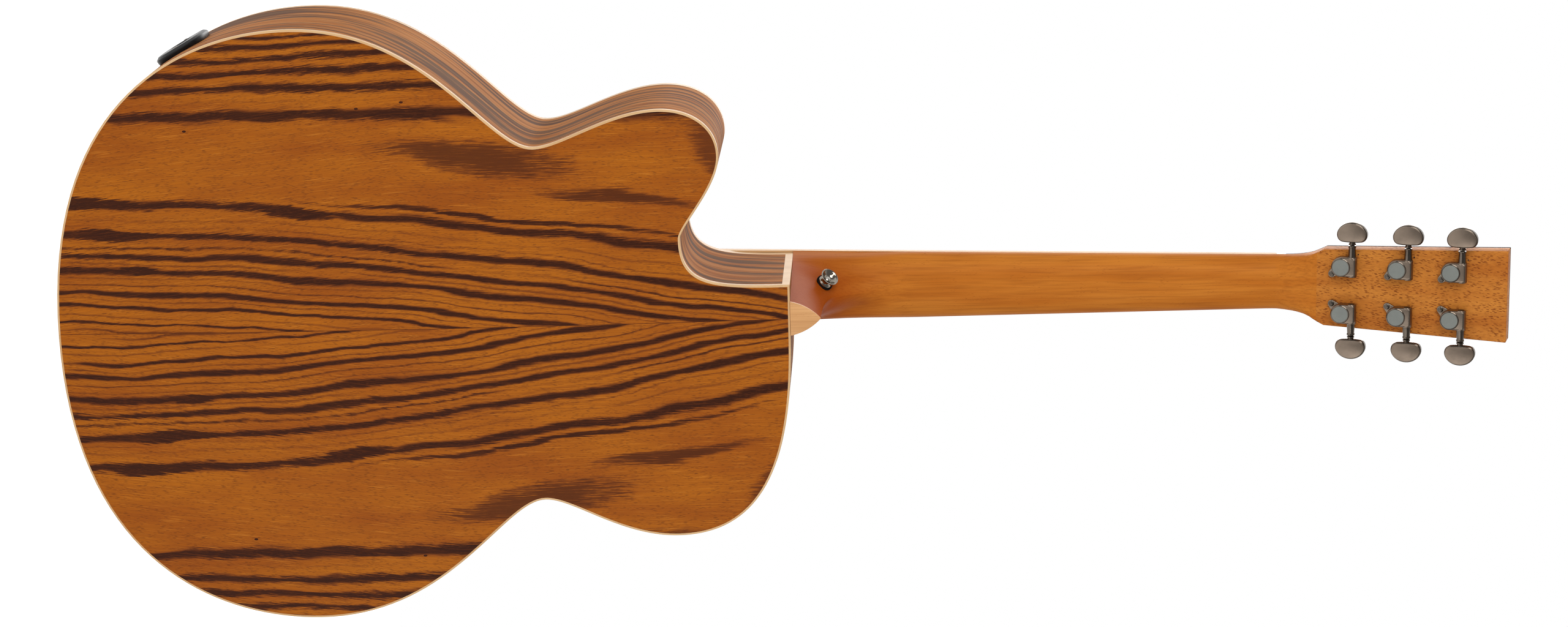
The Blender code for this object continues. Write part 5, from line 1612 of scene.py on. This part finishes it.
@dataclass
class TuningMachine:
    """One geared tuner: housing, button on its shaft and string post."""

    finishes: Finishes
    number: int
    hand: Hand
    along: float
    head: Matrix
    shaft_up: float = 7.7
    shaft_rise: float = 4.7
    case_half: float = 7.25
    case_top: float = 10.9
    case_corner: float = 2.2
    ear_spot: Point = (-6.4, -7.4)
    button_middle: float = 26.0

    @property
    def place(self) -> Matrix:
        """Local axes: X across the headstock, Y away from its back, Z to its tip."""
        spot = (self.hand.value * POST_ROW, HEAD_DEPTH, self.along)
        return self.head @ Matrix.Translation(spot)

    def _across(self, loop: Sequence[Point]) -> list[Point]:
        """Mirror a loop for the machine's side."""
        return [(x * self.hand.value, z) for x, z in loop]

    def _shaft(self, offset: float = 0.0) -> Matrix:
        """Axes whose Z runs outwards along the button's shaft."""
        spot = (self.hand.value * offset * MM, self.shaft_rise * MM, self.shaft_up * MM)
        return self.place @ Matrix.Translation(spot) @ facing(Vector((self.hand.value, 0, 0)))

    def _back(self, x: float, z: float, y: float = 0.0) -> Matrix:
        """Axes whose Z points away from the headstock's back."""
        turn = Matrix.Rotation(-math.pi / 2, 4, "X")
        return self.place @ Matrix.Translation((self.hand.value * x * MM, y * MM, z * MM)) @ turn

    def _case_outline(self) -> list[Point]:
        """The gear case seen from behind: round below, square with eased corners above."""
        half, top, corner = self.case_half, self.case_top, self.case_corner
        angles = [math.pi / 2 * k / 6 for k in range(1, 6)]
        block = [(half, 0.0), (half, top - corner), (half - corner, top)]
        block += [(half - corner + corner * math.cos(a), top - corner + corner * math.sin(a)) for a in angles]
        below = [p for p in disc(half, 56) if p[1] <= 0.01]
        points = below + block + [(-x, z) for x, z in block]
        return hull([(round(x, 4), round(z, 4)) for x, z in points])

    def housing(self) -> bpy.types.Object:
        """Gear case, cover, worm tube, sleeve, screw ear, front washer and screw."""
        smoked, bright, screw_metal = self.finishes.smoked, self.finishes.smoked_rim, self.finishes.gunmetal
        behind, shaft, ahead = self._back(0, 0), self._shaft(), self.place @ UPRIGHT
        front = HEAD_DEPTH / MM + 2.0
        washer = [(3.3, 0), (7.0, 0.02), (7.0, 0.8), (6.6, 1.3), (5.4, 1.7), (4.9, 2.0), (4.7, 3.6),
                  (4.3, 4.0), (3.3, 4.0)]
        case = plate("case", self._across(self._case_outline()), 0.0, 8.5, smoked, self.place, 1.5, 4)
        rounds = [
            ("rim", [(6.9, 8.0), (6.9, 8.75), (6.5, 9.0), (5.2, 9.0), (5.2, 8.0)], bright, behind, 56),
            ("cover", [(5.95, 8.2), (5.95, 9.15), (5.7, 9.35), (3.0, 9.42), (0.2, 9.42)], self.finishes.cap,
             behind, 56),
            ("worm_tube", [(1.0, -7.4), (3.4, -7.3), (3.7, -6.8), (3.7, 6.8), (3.4, 7.4), (1.0, 7.5)], smoked,
             shaft, 40),
            ("sleeve", [(2.2, 5.5), (3.1, 6.0), (3.05, 7.6), (2.6, 14.6), (1.8, 14.9)], bright, shaft, 40),
            ("ring", [(1.6, 14.4), (2.75, 14.6), (2.9, 14.8), (2.9, 15.8), (2.7, 16.1), (1.7, 16.2)], bright,
             shaft, 40),
            ("worm_end", [(0.1, -7.75), (1.9, -7.75), (2.15, -7.55), (2.15, -7.3)], screw_metal, shaft, 32),
        ]
        ear_shape = hull(disc(2.75, 36, self.ear_spot) + disc(4.6, 36, (-1.6, -2.2)))
        ear = plate("ear", self._across(ear_shape), 0.0, 2.3, smoked, self.place, 0.5, 3)
        washer_made = turned("washer", [(r, front + h) for r, h in washer], bright, ahead, 48)
        seat = self._back(*self.ear_spot, 2.2)
        screw = scattered("ear_screw", phillips(2.1, screw_metal), [seat], screw_metal)
        pieces = [case] + [turned(*row) for row in rounds] + [ear, washer_made, screw]
        made = joined(f"tuner_case_{self.number}", pieces)
        return settle(made, ROOT, "smoked_metal", f"tuner_housing_{self.number}")

    def pin_hole(self) -> bpy.types.Object:
        """The small spare pin hole beside the sleeve, drawn as a dark disc of painted shade."""
        made = turned(f"pin_hole_{self.number}", [(0.55, -0.4), (0.55, 0.06)], self.finishes.hole,
                      self._back(8.6, 11.4), 20)
        return settle(made, ROOT, "neck_wood")

    def post(self) -> bpy.types.Object:
        """String post with its waist, its cross hole and its gear end."""
        profile = [(0.2, -6.5), (2.0, -6.5), (3.08, -6.0), (3.08, 20.0), (2.6, 21.1), (2.45, 22.5),
                   (2.6, 23.9), (3.08, 25.0), (3.08, 28.2), (2.9, 28.7), (2.5, 29.0), (0.8, 29.0)]
        post = turned("post", profile, self.finishes.nickel, self.place @ UPRIGHT, 40)
        bore = turned("bore", [(0.8, -6.0), (0.8, 6.0)], self.finishes.hole,
                      self.place @ Matrix.Translation((0, -22.5 * MM, 0)), 16)
        made = soften(cut(post, bore))
        made.name = f"post_{self.number}"
        return settle(made, f"post_{self.number}", "smoked_metal", f"string_post_{self.number}")

    def button(self) -> bpy.types.Object:
        """Half-moon button with a polished rim, its neck and its end screw."""
        smoked, bright = self.finishes.smoked, self.finishes.smoked_rim
        nodes = [
            (18.7, 0, 90, 90, 0, 4), (19.0, 6.2, 88, 88, 0, 3), (24.8, 11.2, 0, 0, 3.4, 3.4),
            (33.9, 0, 270, 270, 7.4, 0),
        ]
        run = [(p.x / MM, p.y / MM) for p in bezier_path(nodes, 12)]
        loop = run[:-1] + [(x, -z) for x, z in reversed(run[1:])]
        shaft = self.place @ Matrix.Translation((0, self.shaft_rise * MM, self.shaft_up * MM))
        inner = [(self.button_middle + (x - self.button_middle) * 0.9, z * 0.93) for x, z in loop]
        rim = plate("rim", self._across(loop), -3.0, 3.0, bright, shaft, 1.3, 4)
        faces = plate("faces", self._across(inner), -3.45, 3.45, smoked, shaft, 0.5, 3)
        profile = [(0.4, -5.4), (1.45, -5.2), (1.45, 16.3), (2.1, 16.6), (2.7, 16.9), (2.7, 17.7),
                   (2.2, 18.0), (2.2, 18.5), (2.7, 19.0), (2.7, 20.0), (1.0, 22.0)]
        neck = turned("neck", profile, bright, self._shaft(), 36)
        screw_head = phillips(1.9, self.finishes.steel)
        screw = scattered("end_screw", screw_head, [self._shaft(33.3)], self.finishes.steel)
        made = joined(f"button_{self.number}_metal", [rim, faces, neck, screw])
        return settle(made, f"button_{self.number}", "smoked_metal", f"tuner_button_{self.number}")

    def build(self) -> list[bpy.types.Object]:
        """Build and dress the machine.

        Returns:
            The new pieces.
        """
        pieces = [self.housing(), self.post(), self.button()]
        if self.hand is Hand.TREBLE:
            pieces.append(self.pin_hole())
        return pieces


@dataclass
class StringSet:
    """Bridge, saddle, pins and the six strings."""

    finishes: Finishes
    head: Matrix
    diameters: tuple = (1.35, 1.07, 0.81, 0.61, 0.5, 0.5)
    nut_spread: float = 36 * MM
    bridge_spread: float = 54 * MM
    saddle_top: float = 16.5 * MM
    bridge_depth: float = 11 * MM
    pin_drop: float = 13 * MM
    post_radius: float = 3.12 * MM
    coil_gap: float = 0.25 * MM
    groove: float = 0.6

    def _x(self, index: int, spread: float) -> float:
        """Sideways place of a string, the lowest at -X."""
        return spread * (index / 5 - 0.5)

    def bridge(self) -> bpy.types.Object:
        """Dark wooden bridge with a slot and eased edges."""
        loop = []
        half, deep, radius = 80.0, 15.0, 10.0
        centre = SADDLE_Z / MM - 7
        for sign_x, sign_z in ((1, 1), (1, -1), (-1, -1), (-1, 1)):
            for k in range(9):
                a = math.pi / 2 * (k / 8 if sign_x * sign_z < 0 else 1 - k / 8)
                x = sign_x * (half - radius + radius * math.cos(a))
                z = sign_z * (deep - radius + radius * math.sin(a))
                loop.append((x, centre + z))
        body = plate("bridge_wood", loop, -self.bridge_depth / MM, -0.02, self.finishes.dark, HERE)
        slot_loop = [(x, SADDLE_Z / MM + z) for x, z in ((-38, -1.6), (38, -1.6), (38, 1.6), (-38, 1.6))]
        cut(body, plate("slot", slot_loop, -20, -2.5, self.finishes.dark, HERE))
        bevelled(body, 1.4 * MM, 3, 60.0)
        return settle(soften(body), ROOT, "dark_wood", "bridge")

    def saddle(self) -> bpy.types.Object:
        """Bone saddle with a rounded, arched top."""
        half = 37.7 * MM
        edge = SADDLE_ARCH - self.saddle_top
        crown = ((-1.5, 0.9), (-1.1, 0.35), (-0.5, 0.05), (0.0, 0.0), (0.5, 0.05), (1.1, 0.35), (1.5, 0.9))
        rings = [arched(SADDLE_Z + dz * MM, half, -4.5 * MM, edge + down * MM, SADDLE_ARCH, 20)
                 for dz, down in crown]
        made = lofted("saddle_bone", rings, self.finishes.bone)
        return settle(made, ROOT, "bone", "saddle")

    def pins(self) -> bpy.types.Object:
        """The six bridge pins."""
        profile = [(2.4, -2.0), (2.5, 0.4), (3.7, 0.7), (4.0, 1.4), (3.9, 2.2), (3.2, 3.0), (1.8, 3.5),
                   (0.2, 3.6)]
        shape = turned("pin", profile, self.finishes.bone, HERE, 28)
        pin_z = SADDLE_Z - self.pin_drop
        spots = [(self._x(k, self.bridge_spread), -self.bridge_depth, pin_z) for k in range(6)]
        places = [Matrix.Translation(spot) @ UPRIGHT for spot in spots]
        made = scattered("bridge_pins", shape, places, self.finishes.bone)
        return settle(made, ROOT, "bone")

    def _route(self, index: int, hand: Hand, along: float) -> list[Vector]:
        """A string's centreline from its pin to its post."""
        radius = self.diameters[index] / 2 * MM
        x_bridge, x_nut = self._x(index, self.bridge_spread), self._x(index, self.nut_spread)
        crown = SADDLE_ARCH * (x_bridge / (38 * MM)) ** 2
        top = -self.saddle_top + crown - radius
        arch = FRETBOARD_ARCH * (x_nut / (NUT_WIDTH / 2)) ** 2
        nut = glue_y(NUT_Z) - NUT_CROWN * MM - FRETBOARD_ARCH + arch - radius * self.groove
        points = [
            Vector((x_bridge, -self.bridge_depth - radius, SADDLE_Z - 10.4 * MM)),
            Vector((x_bridge, top, SADDLE_Z - 1.0 * MM)),
            Vector((x_bridge, top - 0.05 * MM, SADDLE_Z + 0.6 * MM)),
            Vector((x_nut, nut, NUT_Z + 0.8 * MM)),
            Vector((x_nut, nut + 0.15 * MM, NUT_Z + 2.4 * MM)),
        ]
        wrap = self.post_radius + radius
        centre = Vector((hand.value * POST_ROW, 0, along))
        height = HEAD_DEPTH - POST_WAIST
        turns, per_turn = 2, 24
        climb = 2 * radius + self.coil_gap
        for k in range(turns * per_turn + 1):
            angle = 2 * math.pi * k / per_turn
            around = Vector((-hand.value * math.cos(angle), 0, math.sin(angle))) * wrap
            rise = Vector((0, height + climb - climb * k / per_turn, 0))
            points.append(self.head @ (centre + around + rise))
        return points

    def strings(self, posts: dict[int, tuple[Hand, float]]) -> list[bpy.types.Object]:
        """The six strings as tubes swept by Geometry Nodes.

        Args:
            posts: Side and place of each string's post.

        Returns:
            The strings.
        """
        pieces = []
        for number, (hand, along) in posts.items():
            index = 6 - number
            route = self._route(index, hand, along)
            carrier = bpy.data.meshes.new(f"string_{number}")
            carrier.from_pydata(route, [(k, k + 1) for k in range(len(route) - 1)], [])
            grower = Grower(f"string_{number}_tree")
            gauge = grower.size("Radius", self.diameters[index] / 2 * MM)
            line = grower.add("GeometryNodeMeshToCurve", None, {"Mesh": grower.source.outputs["Geometry"]})
            circle = grower.add("GeometryNodeCurvePrimitiveCircle", None, {"Resolution": 12, "Radius": gauge})
            tube = grower.add("GeometryNodeCurveToMesh", None, {
                "Curve": line.outputs[0], "Profile Curve": circle.outputs[0], "Fill Caps": True})
            material = self.finishes.bronze if number > 2 else self.finishes.plain_steel
            made = grower.grow(f"string_{number}_wire", tube.outputs[0], material, carrier)
            pieces.append(settle(made, ROOT, "string_metal", f"string_{number}"))
        return pieces

    def build(self, posts: dict[int, tuple[Hand, float]]) -> list[bpy.types.Object]:
        """Build and dress the bridge and strings."""
        repaint("pickup_strip", self.finishes.black)
        return [self.bridge(), self.saddle(), self.pins()] + self.strings(posts)


@dataclass
class StrapButton:
    """Dished strap button with its screw, on a felt washer."""

    finishes: Finishes
    node: str
    washer: str
    place: Matrix

    def build(self) -> list[bpy.types.Object]:
        """Build and dress the button, its screw and its washer.

        Returns:
            The new pieces.
        """
        profile = [(1.2, 1.55), (5.0, 1.55), (5.25, 1.75), (5.25, 2.35), (4.9, 2.8), (4.3, 3.3), (3.9, 4.1),
                   (3.75, 5.0), (3.9, 5.8), (4.5, 6.6), (5.6, 7.6), (6.6, 8.35), (6.85, 8.6), (6.9, 8.85),
                   (6.75, 9.0), (6.4, 8.95), (5.6, 8.3), (4.4, 7.2), (3.2, 6.3), (2.6, 6.05), (1.0, 6.0)]
        cup = turned("cup", profile, self.finishes.nickel, self.place, 64, 50.0)
        steel = self.finishes.steel
        seat = self.place @ Matrix.Translation((0, 0, 6.15 * MM))
        screw = scattered("screw", phillips(2.35, steel, 0.7), [seat], steel)
        made = joined(self.node + "_metal", [cup, screw])
        settle(made, ROOT, "nickel", self.node)
        profile = [(1.2, 0.05), (6.1, 0.05), (6.35, 0.3), (6.35, 1.2), (6.1, 1.5), (1.2, 1.5)]
        felt = turned(self.washer + "_felt", profile, self.finishes.felt, self.place, 48)
        settle(felt, ROOT, "felt", self.washer)
        return [made, felt]


@dataclass
class OutputJack:
    """Recessed black jack plate on the rim with its socket."""

    finishes: Finishes
    share: float = 0.63
    centre_y: float = 58 * MM
    corner: float = 0.66

    @property
    def place(self) -> Matrix:
        """Axes: X along the rim, Y across it, Z outwards."""
        start, end = Vector((0, TAIL_Z)), Vector((218 * MM, JOINT_Z - 349 * MM))
        first, second = start + Vector((175 * MM, 0)), end - Vector((0, 74 * MM))
        t, s = self.share, 1 - self.share
        spot = bezier(start, first, second, end, t)
        run = (s * s * (first - start) + 2 * s * t * (second - first) + t * t * (end - second)).normalized()
        axes = (Vector((run.x, 0, run.y)), Vector((0, 1, 0)), Vector((run.y, 0, -run.x)))
        place = Matrix(axes).transposed().to_4x4()
        place.translation = Vector((spot.x, self.centre_y, spot.y))
        return place

    def _ring(self, half_along: float, half_deep: float, height: float, power: float,
              sides: int = 72) -> Ring:
        """A rounded rectangle in local axes, in mm."""
        return [Vector((half_along * math.copysign(abs(c) ** power, c) * MM,
                        half_deep * math.copysign(abs(d) ** power, d) * MM, height * MM))
                for c, d in disc(1.0, sides)]

    def build(self) -> list[bpy.types.Object]:
        """Build and dress the plate and socket.

        Returns:
            The new pieces.
        """
        black = self.finishes.black
        steps = [(19.4, 23.4, -1.3), (19.9, 23.9, 0.5), (20, 24, 2.4), (19.7, 23.7, 3.1), (18.2, 22.2, 4.3),
                 (17.6, 21.6, 4.7), (17.0, 21.0, 4.8)]
        body = lofted("jack_body", [self._ring(a, b, h, self.corner) for a, b, h in steps], black, self.place)
        cup = [(5.2, 5.2, -3.0, 1.0), (5.2, 5.2, 1.4, 1.0), (6.0, 7.6, 2.2, 0.95), (8.0, 12.0, 4.0, 0.9),
               (10.0, 16.0, 7.0, 0.9)]
        tool = lofted("jack_cup", [self._ring(*step) for step in cup], black, self.place)
        soften(cut(body, tool), 24.0)
        profile = [(3.25, 1.0), (4.9, 1.0), (4.9, 2.6), (4.5, 2.9), (3.5, 2.9), (3.25, 2.6)]
        collar = turned("jack_collar", profile, self.finishes.smoked_rim, self.place, 48)
        screws = phillips(1.9, self.finishes.steel)
        spots = [self.place @ Matrix.Translation((0, y * MM, 4.5 * MM)) for y in (-17.5, 17.5)]
        heads = scattered("jack_screws", screws, spots, self.finishes.smoked_rim)
        made = joined("jack_plate_black", [body, heads])
        settle(made, ROOT, "black_plastic", "jack_plate")
        levels = [(3.2, 2.1), (4.6, 2.1), (4.6, -15.9), (3.2, -15.9)]
        rings = [[Vector((x * MM, y * MM, height * MM)) for x, y in disc(radius, 40)]
                 for radius, height in levels]
        tube = lofted("jack_sleeve", rings, self.finishes.nickel, self.place, closed=True)
        sleeve = joined("jack_socket_metal", [collar, tube])
        settle(sleeve, ROOT, "nickel", "jack_socket")
        return [made, sleeve]


@dataclass
class Studio:
    """Camera, lamps, floor and surroundings."""

    lens_px: float = 5490.09
    frame_px: tuple = (2560, 1024)
    turns: tuple = (0.2389, -0.0310, 0.0138)
    shift_mm: tuple = (7.3157, 21.3794, -2526.8866)
    sensor: float = 36.0
    floor_z: float = TAIL_Z - 0.12

    def camera(self) -> bpy.types.Object:
        """The camera at the photograph's viewing angle."""
        rx, ry, rz = self.turns
        turn = Matrix.Rotation(rz, 3, "Z") @ Matrix.Rotation(ry, 3, "Y") @ Matrix.Rotation(rx, 3, "X")
        eye = -(turn.transposed() @ Vector(self.shift_mm)) * MM

        def to_guitar(v: Vector) -> Vector:
            """From (along the neck, to the cutaway, out of the back) to (x, y, z)."""
            return Vector((v[1], v[2], v[0]))
        columns = Matrix([to_guitar(row) for row in turn]).transposed()
        data = bpy.data.cameras.new("camera")
        data.sensor_fit = "HORIZONTAL"
        data.sensor_width = self.sensor
        data.lens = self.sensor * self.lens_px / self.frame_px[0]
        data.clip_end = 50.0
        camera = bpy.data.objects.new("camera", data)
        bpy.context.scene.collection.objects.link(camera)
        place = columns.to_4x4()
        place.translation = to_guitar(eye) + Vector((0, 0, JOINT_Z))
        camera.matrix_world = place
        bpy.context.scene.camera = camera
        return camera

    def lamp(self, name: str, spot: tuple, target: tuple, size: float, watts: float) -> None:
        """One soft lamp aimed at a point."""
        data = bpy.data.lights.new(name, "AREA")
        data.size = size
        data.energy = watts
        made = bpy.data.objects.new(name, data)
        bpy.context.scene.collection.objects.link(made)
        aim = Vector(target) - Vector(spot)
        made.matrix_world = Matrix.Translation(spot) @ facing(aim, "-Z")

    def surroundings(self) -> None:
        """White behind the guitar, a dim room behind the camera."""
        web = Web("studio", world=True)
        way = web.node("ShaderNodeTexCoord", None, out="Generated")
        up = web.node("ShaderNodeSeparateXYZ", None, way, out=1)
        mirrored_light = self._ray(web, "Glossy") * up.step(0.45, -0.25, 0.22)
        direct = self._ray(web, "Camera").high(self._ray(web, "Transmission")).high(mirrored_light)
        clamped = {"operation": "ADD", "use_clamp": True}
        total = web.node("ShaderNodeMath", clamped, direct, self._ray(web, "Diffuse") * 0.62)
        bpy.context.scene.world = web.dress(Color=(1.0, 1.0, 1.0, 1.0), Strength=total)

    def _ray(self, web: Web, kind: str) -> Sock:
        """1 for rays of a kind, else 0."""
        return web.node("ShaderNodeLightPath", None, out=f"Is {kind} Ray")

    def floor(self) -> bpy.types.Object:
        """A pale round floor under the guitar."""
        def build(bm: bmesh.types.BMesh) -> None:
            """One disc."""
            bmesh.ops.create_circle(bm, cap_ends=True, radius=2.4, segments=96,
                                    matrix=Matrix.Translation((0, 0, self.floor_z)))
        web = Web("floor_paint")
        paths = reduce(Sock.high, [self._ray(web, kind) for kind in ("Camera", "Glossy", "Transmission")])
        made = link("floor", mesh_of("floor", build), None)
        web.dress(Base_Color=(0.86, 0.86, 0.86, 1.0), Roughness=0.9, Emission_Color=(1.0, 1.0, 1.0, 1.0),
                  Emission_Strength=paths * 0.42, Specular_IOR_Level=0.1)
        made.data.materials.append(web.holder)
        return made

    def build(self) -> None:
        """Set up the whole studio."""
        self.camera()
        self.surroundings()
        self.floor()
        self.lamp("key", (1.9, 2.3, 0.35), (0.0, 0.1, -0.45), 1.5, 34.0)
        self.lamp("fill", (-1.7, 2.4, -1.0), (0.0, 0.1, -0.45), 1.6, 16.0)
        self.lamp("front", (0.6, -2.4, 0.2), (0.0, 0.0, -0.45), 1.8, 24.0)
        view = bpy.context.scene.view_settings
        view.view_transform = "Standard"


def main() -> None:
    """Build the guitar round its frame."""
    logging.basicConfig(level=logging.INFO, format="%(name)s: %(message)s")
    finishes = Finishes()
    Studio().build()
    body = Body(finishes)
    neck = Neck(finishes)
    posts = {6: (Hand.BASS, 51.1 * MM), 5: (Hand.BASS, 92 * MM), 4: (Hand.BASS, 131 * MM),
             3: (Hand.TREBLE, 131 * MM), 2: (Hand.TREBLE, 92 * MM), 1: (Hand.TREBLE, 51.1 * MM)}
    pieces = body.build() + neck.build()
    for number, (hand, along) in posts.items():
        pieces += TuningMachine(finishes, number, hand, along, neck.head).build()
    pieces += StringSet(finishes, neck.head).build(posts)
    tail = Matrix.Translation((0, TAIL_BUTTON_Y, TAIL_Z - BUTTON_GAP)) @ facing(Vector((0, 0, -1)))
    for end, place in (("heel", neck.button_place()), ("tail", tail)):
        pieces += StrapButton(finishes, f"{end}_strap_button", f"{end}_strap_washer", place).build()
    pieces += OutputJack(finishes).build()
    for piece in pieces:
        LOG.info("%s: %d faces on %s", piece.name, len(piece.data.polygons), piece["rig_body"])


if __name__ == "__main__":
    main()
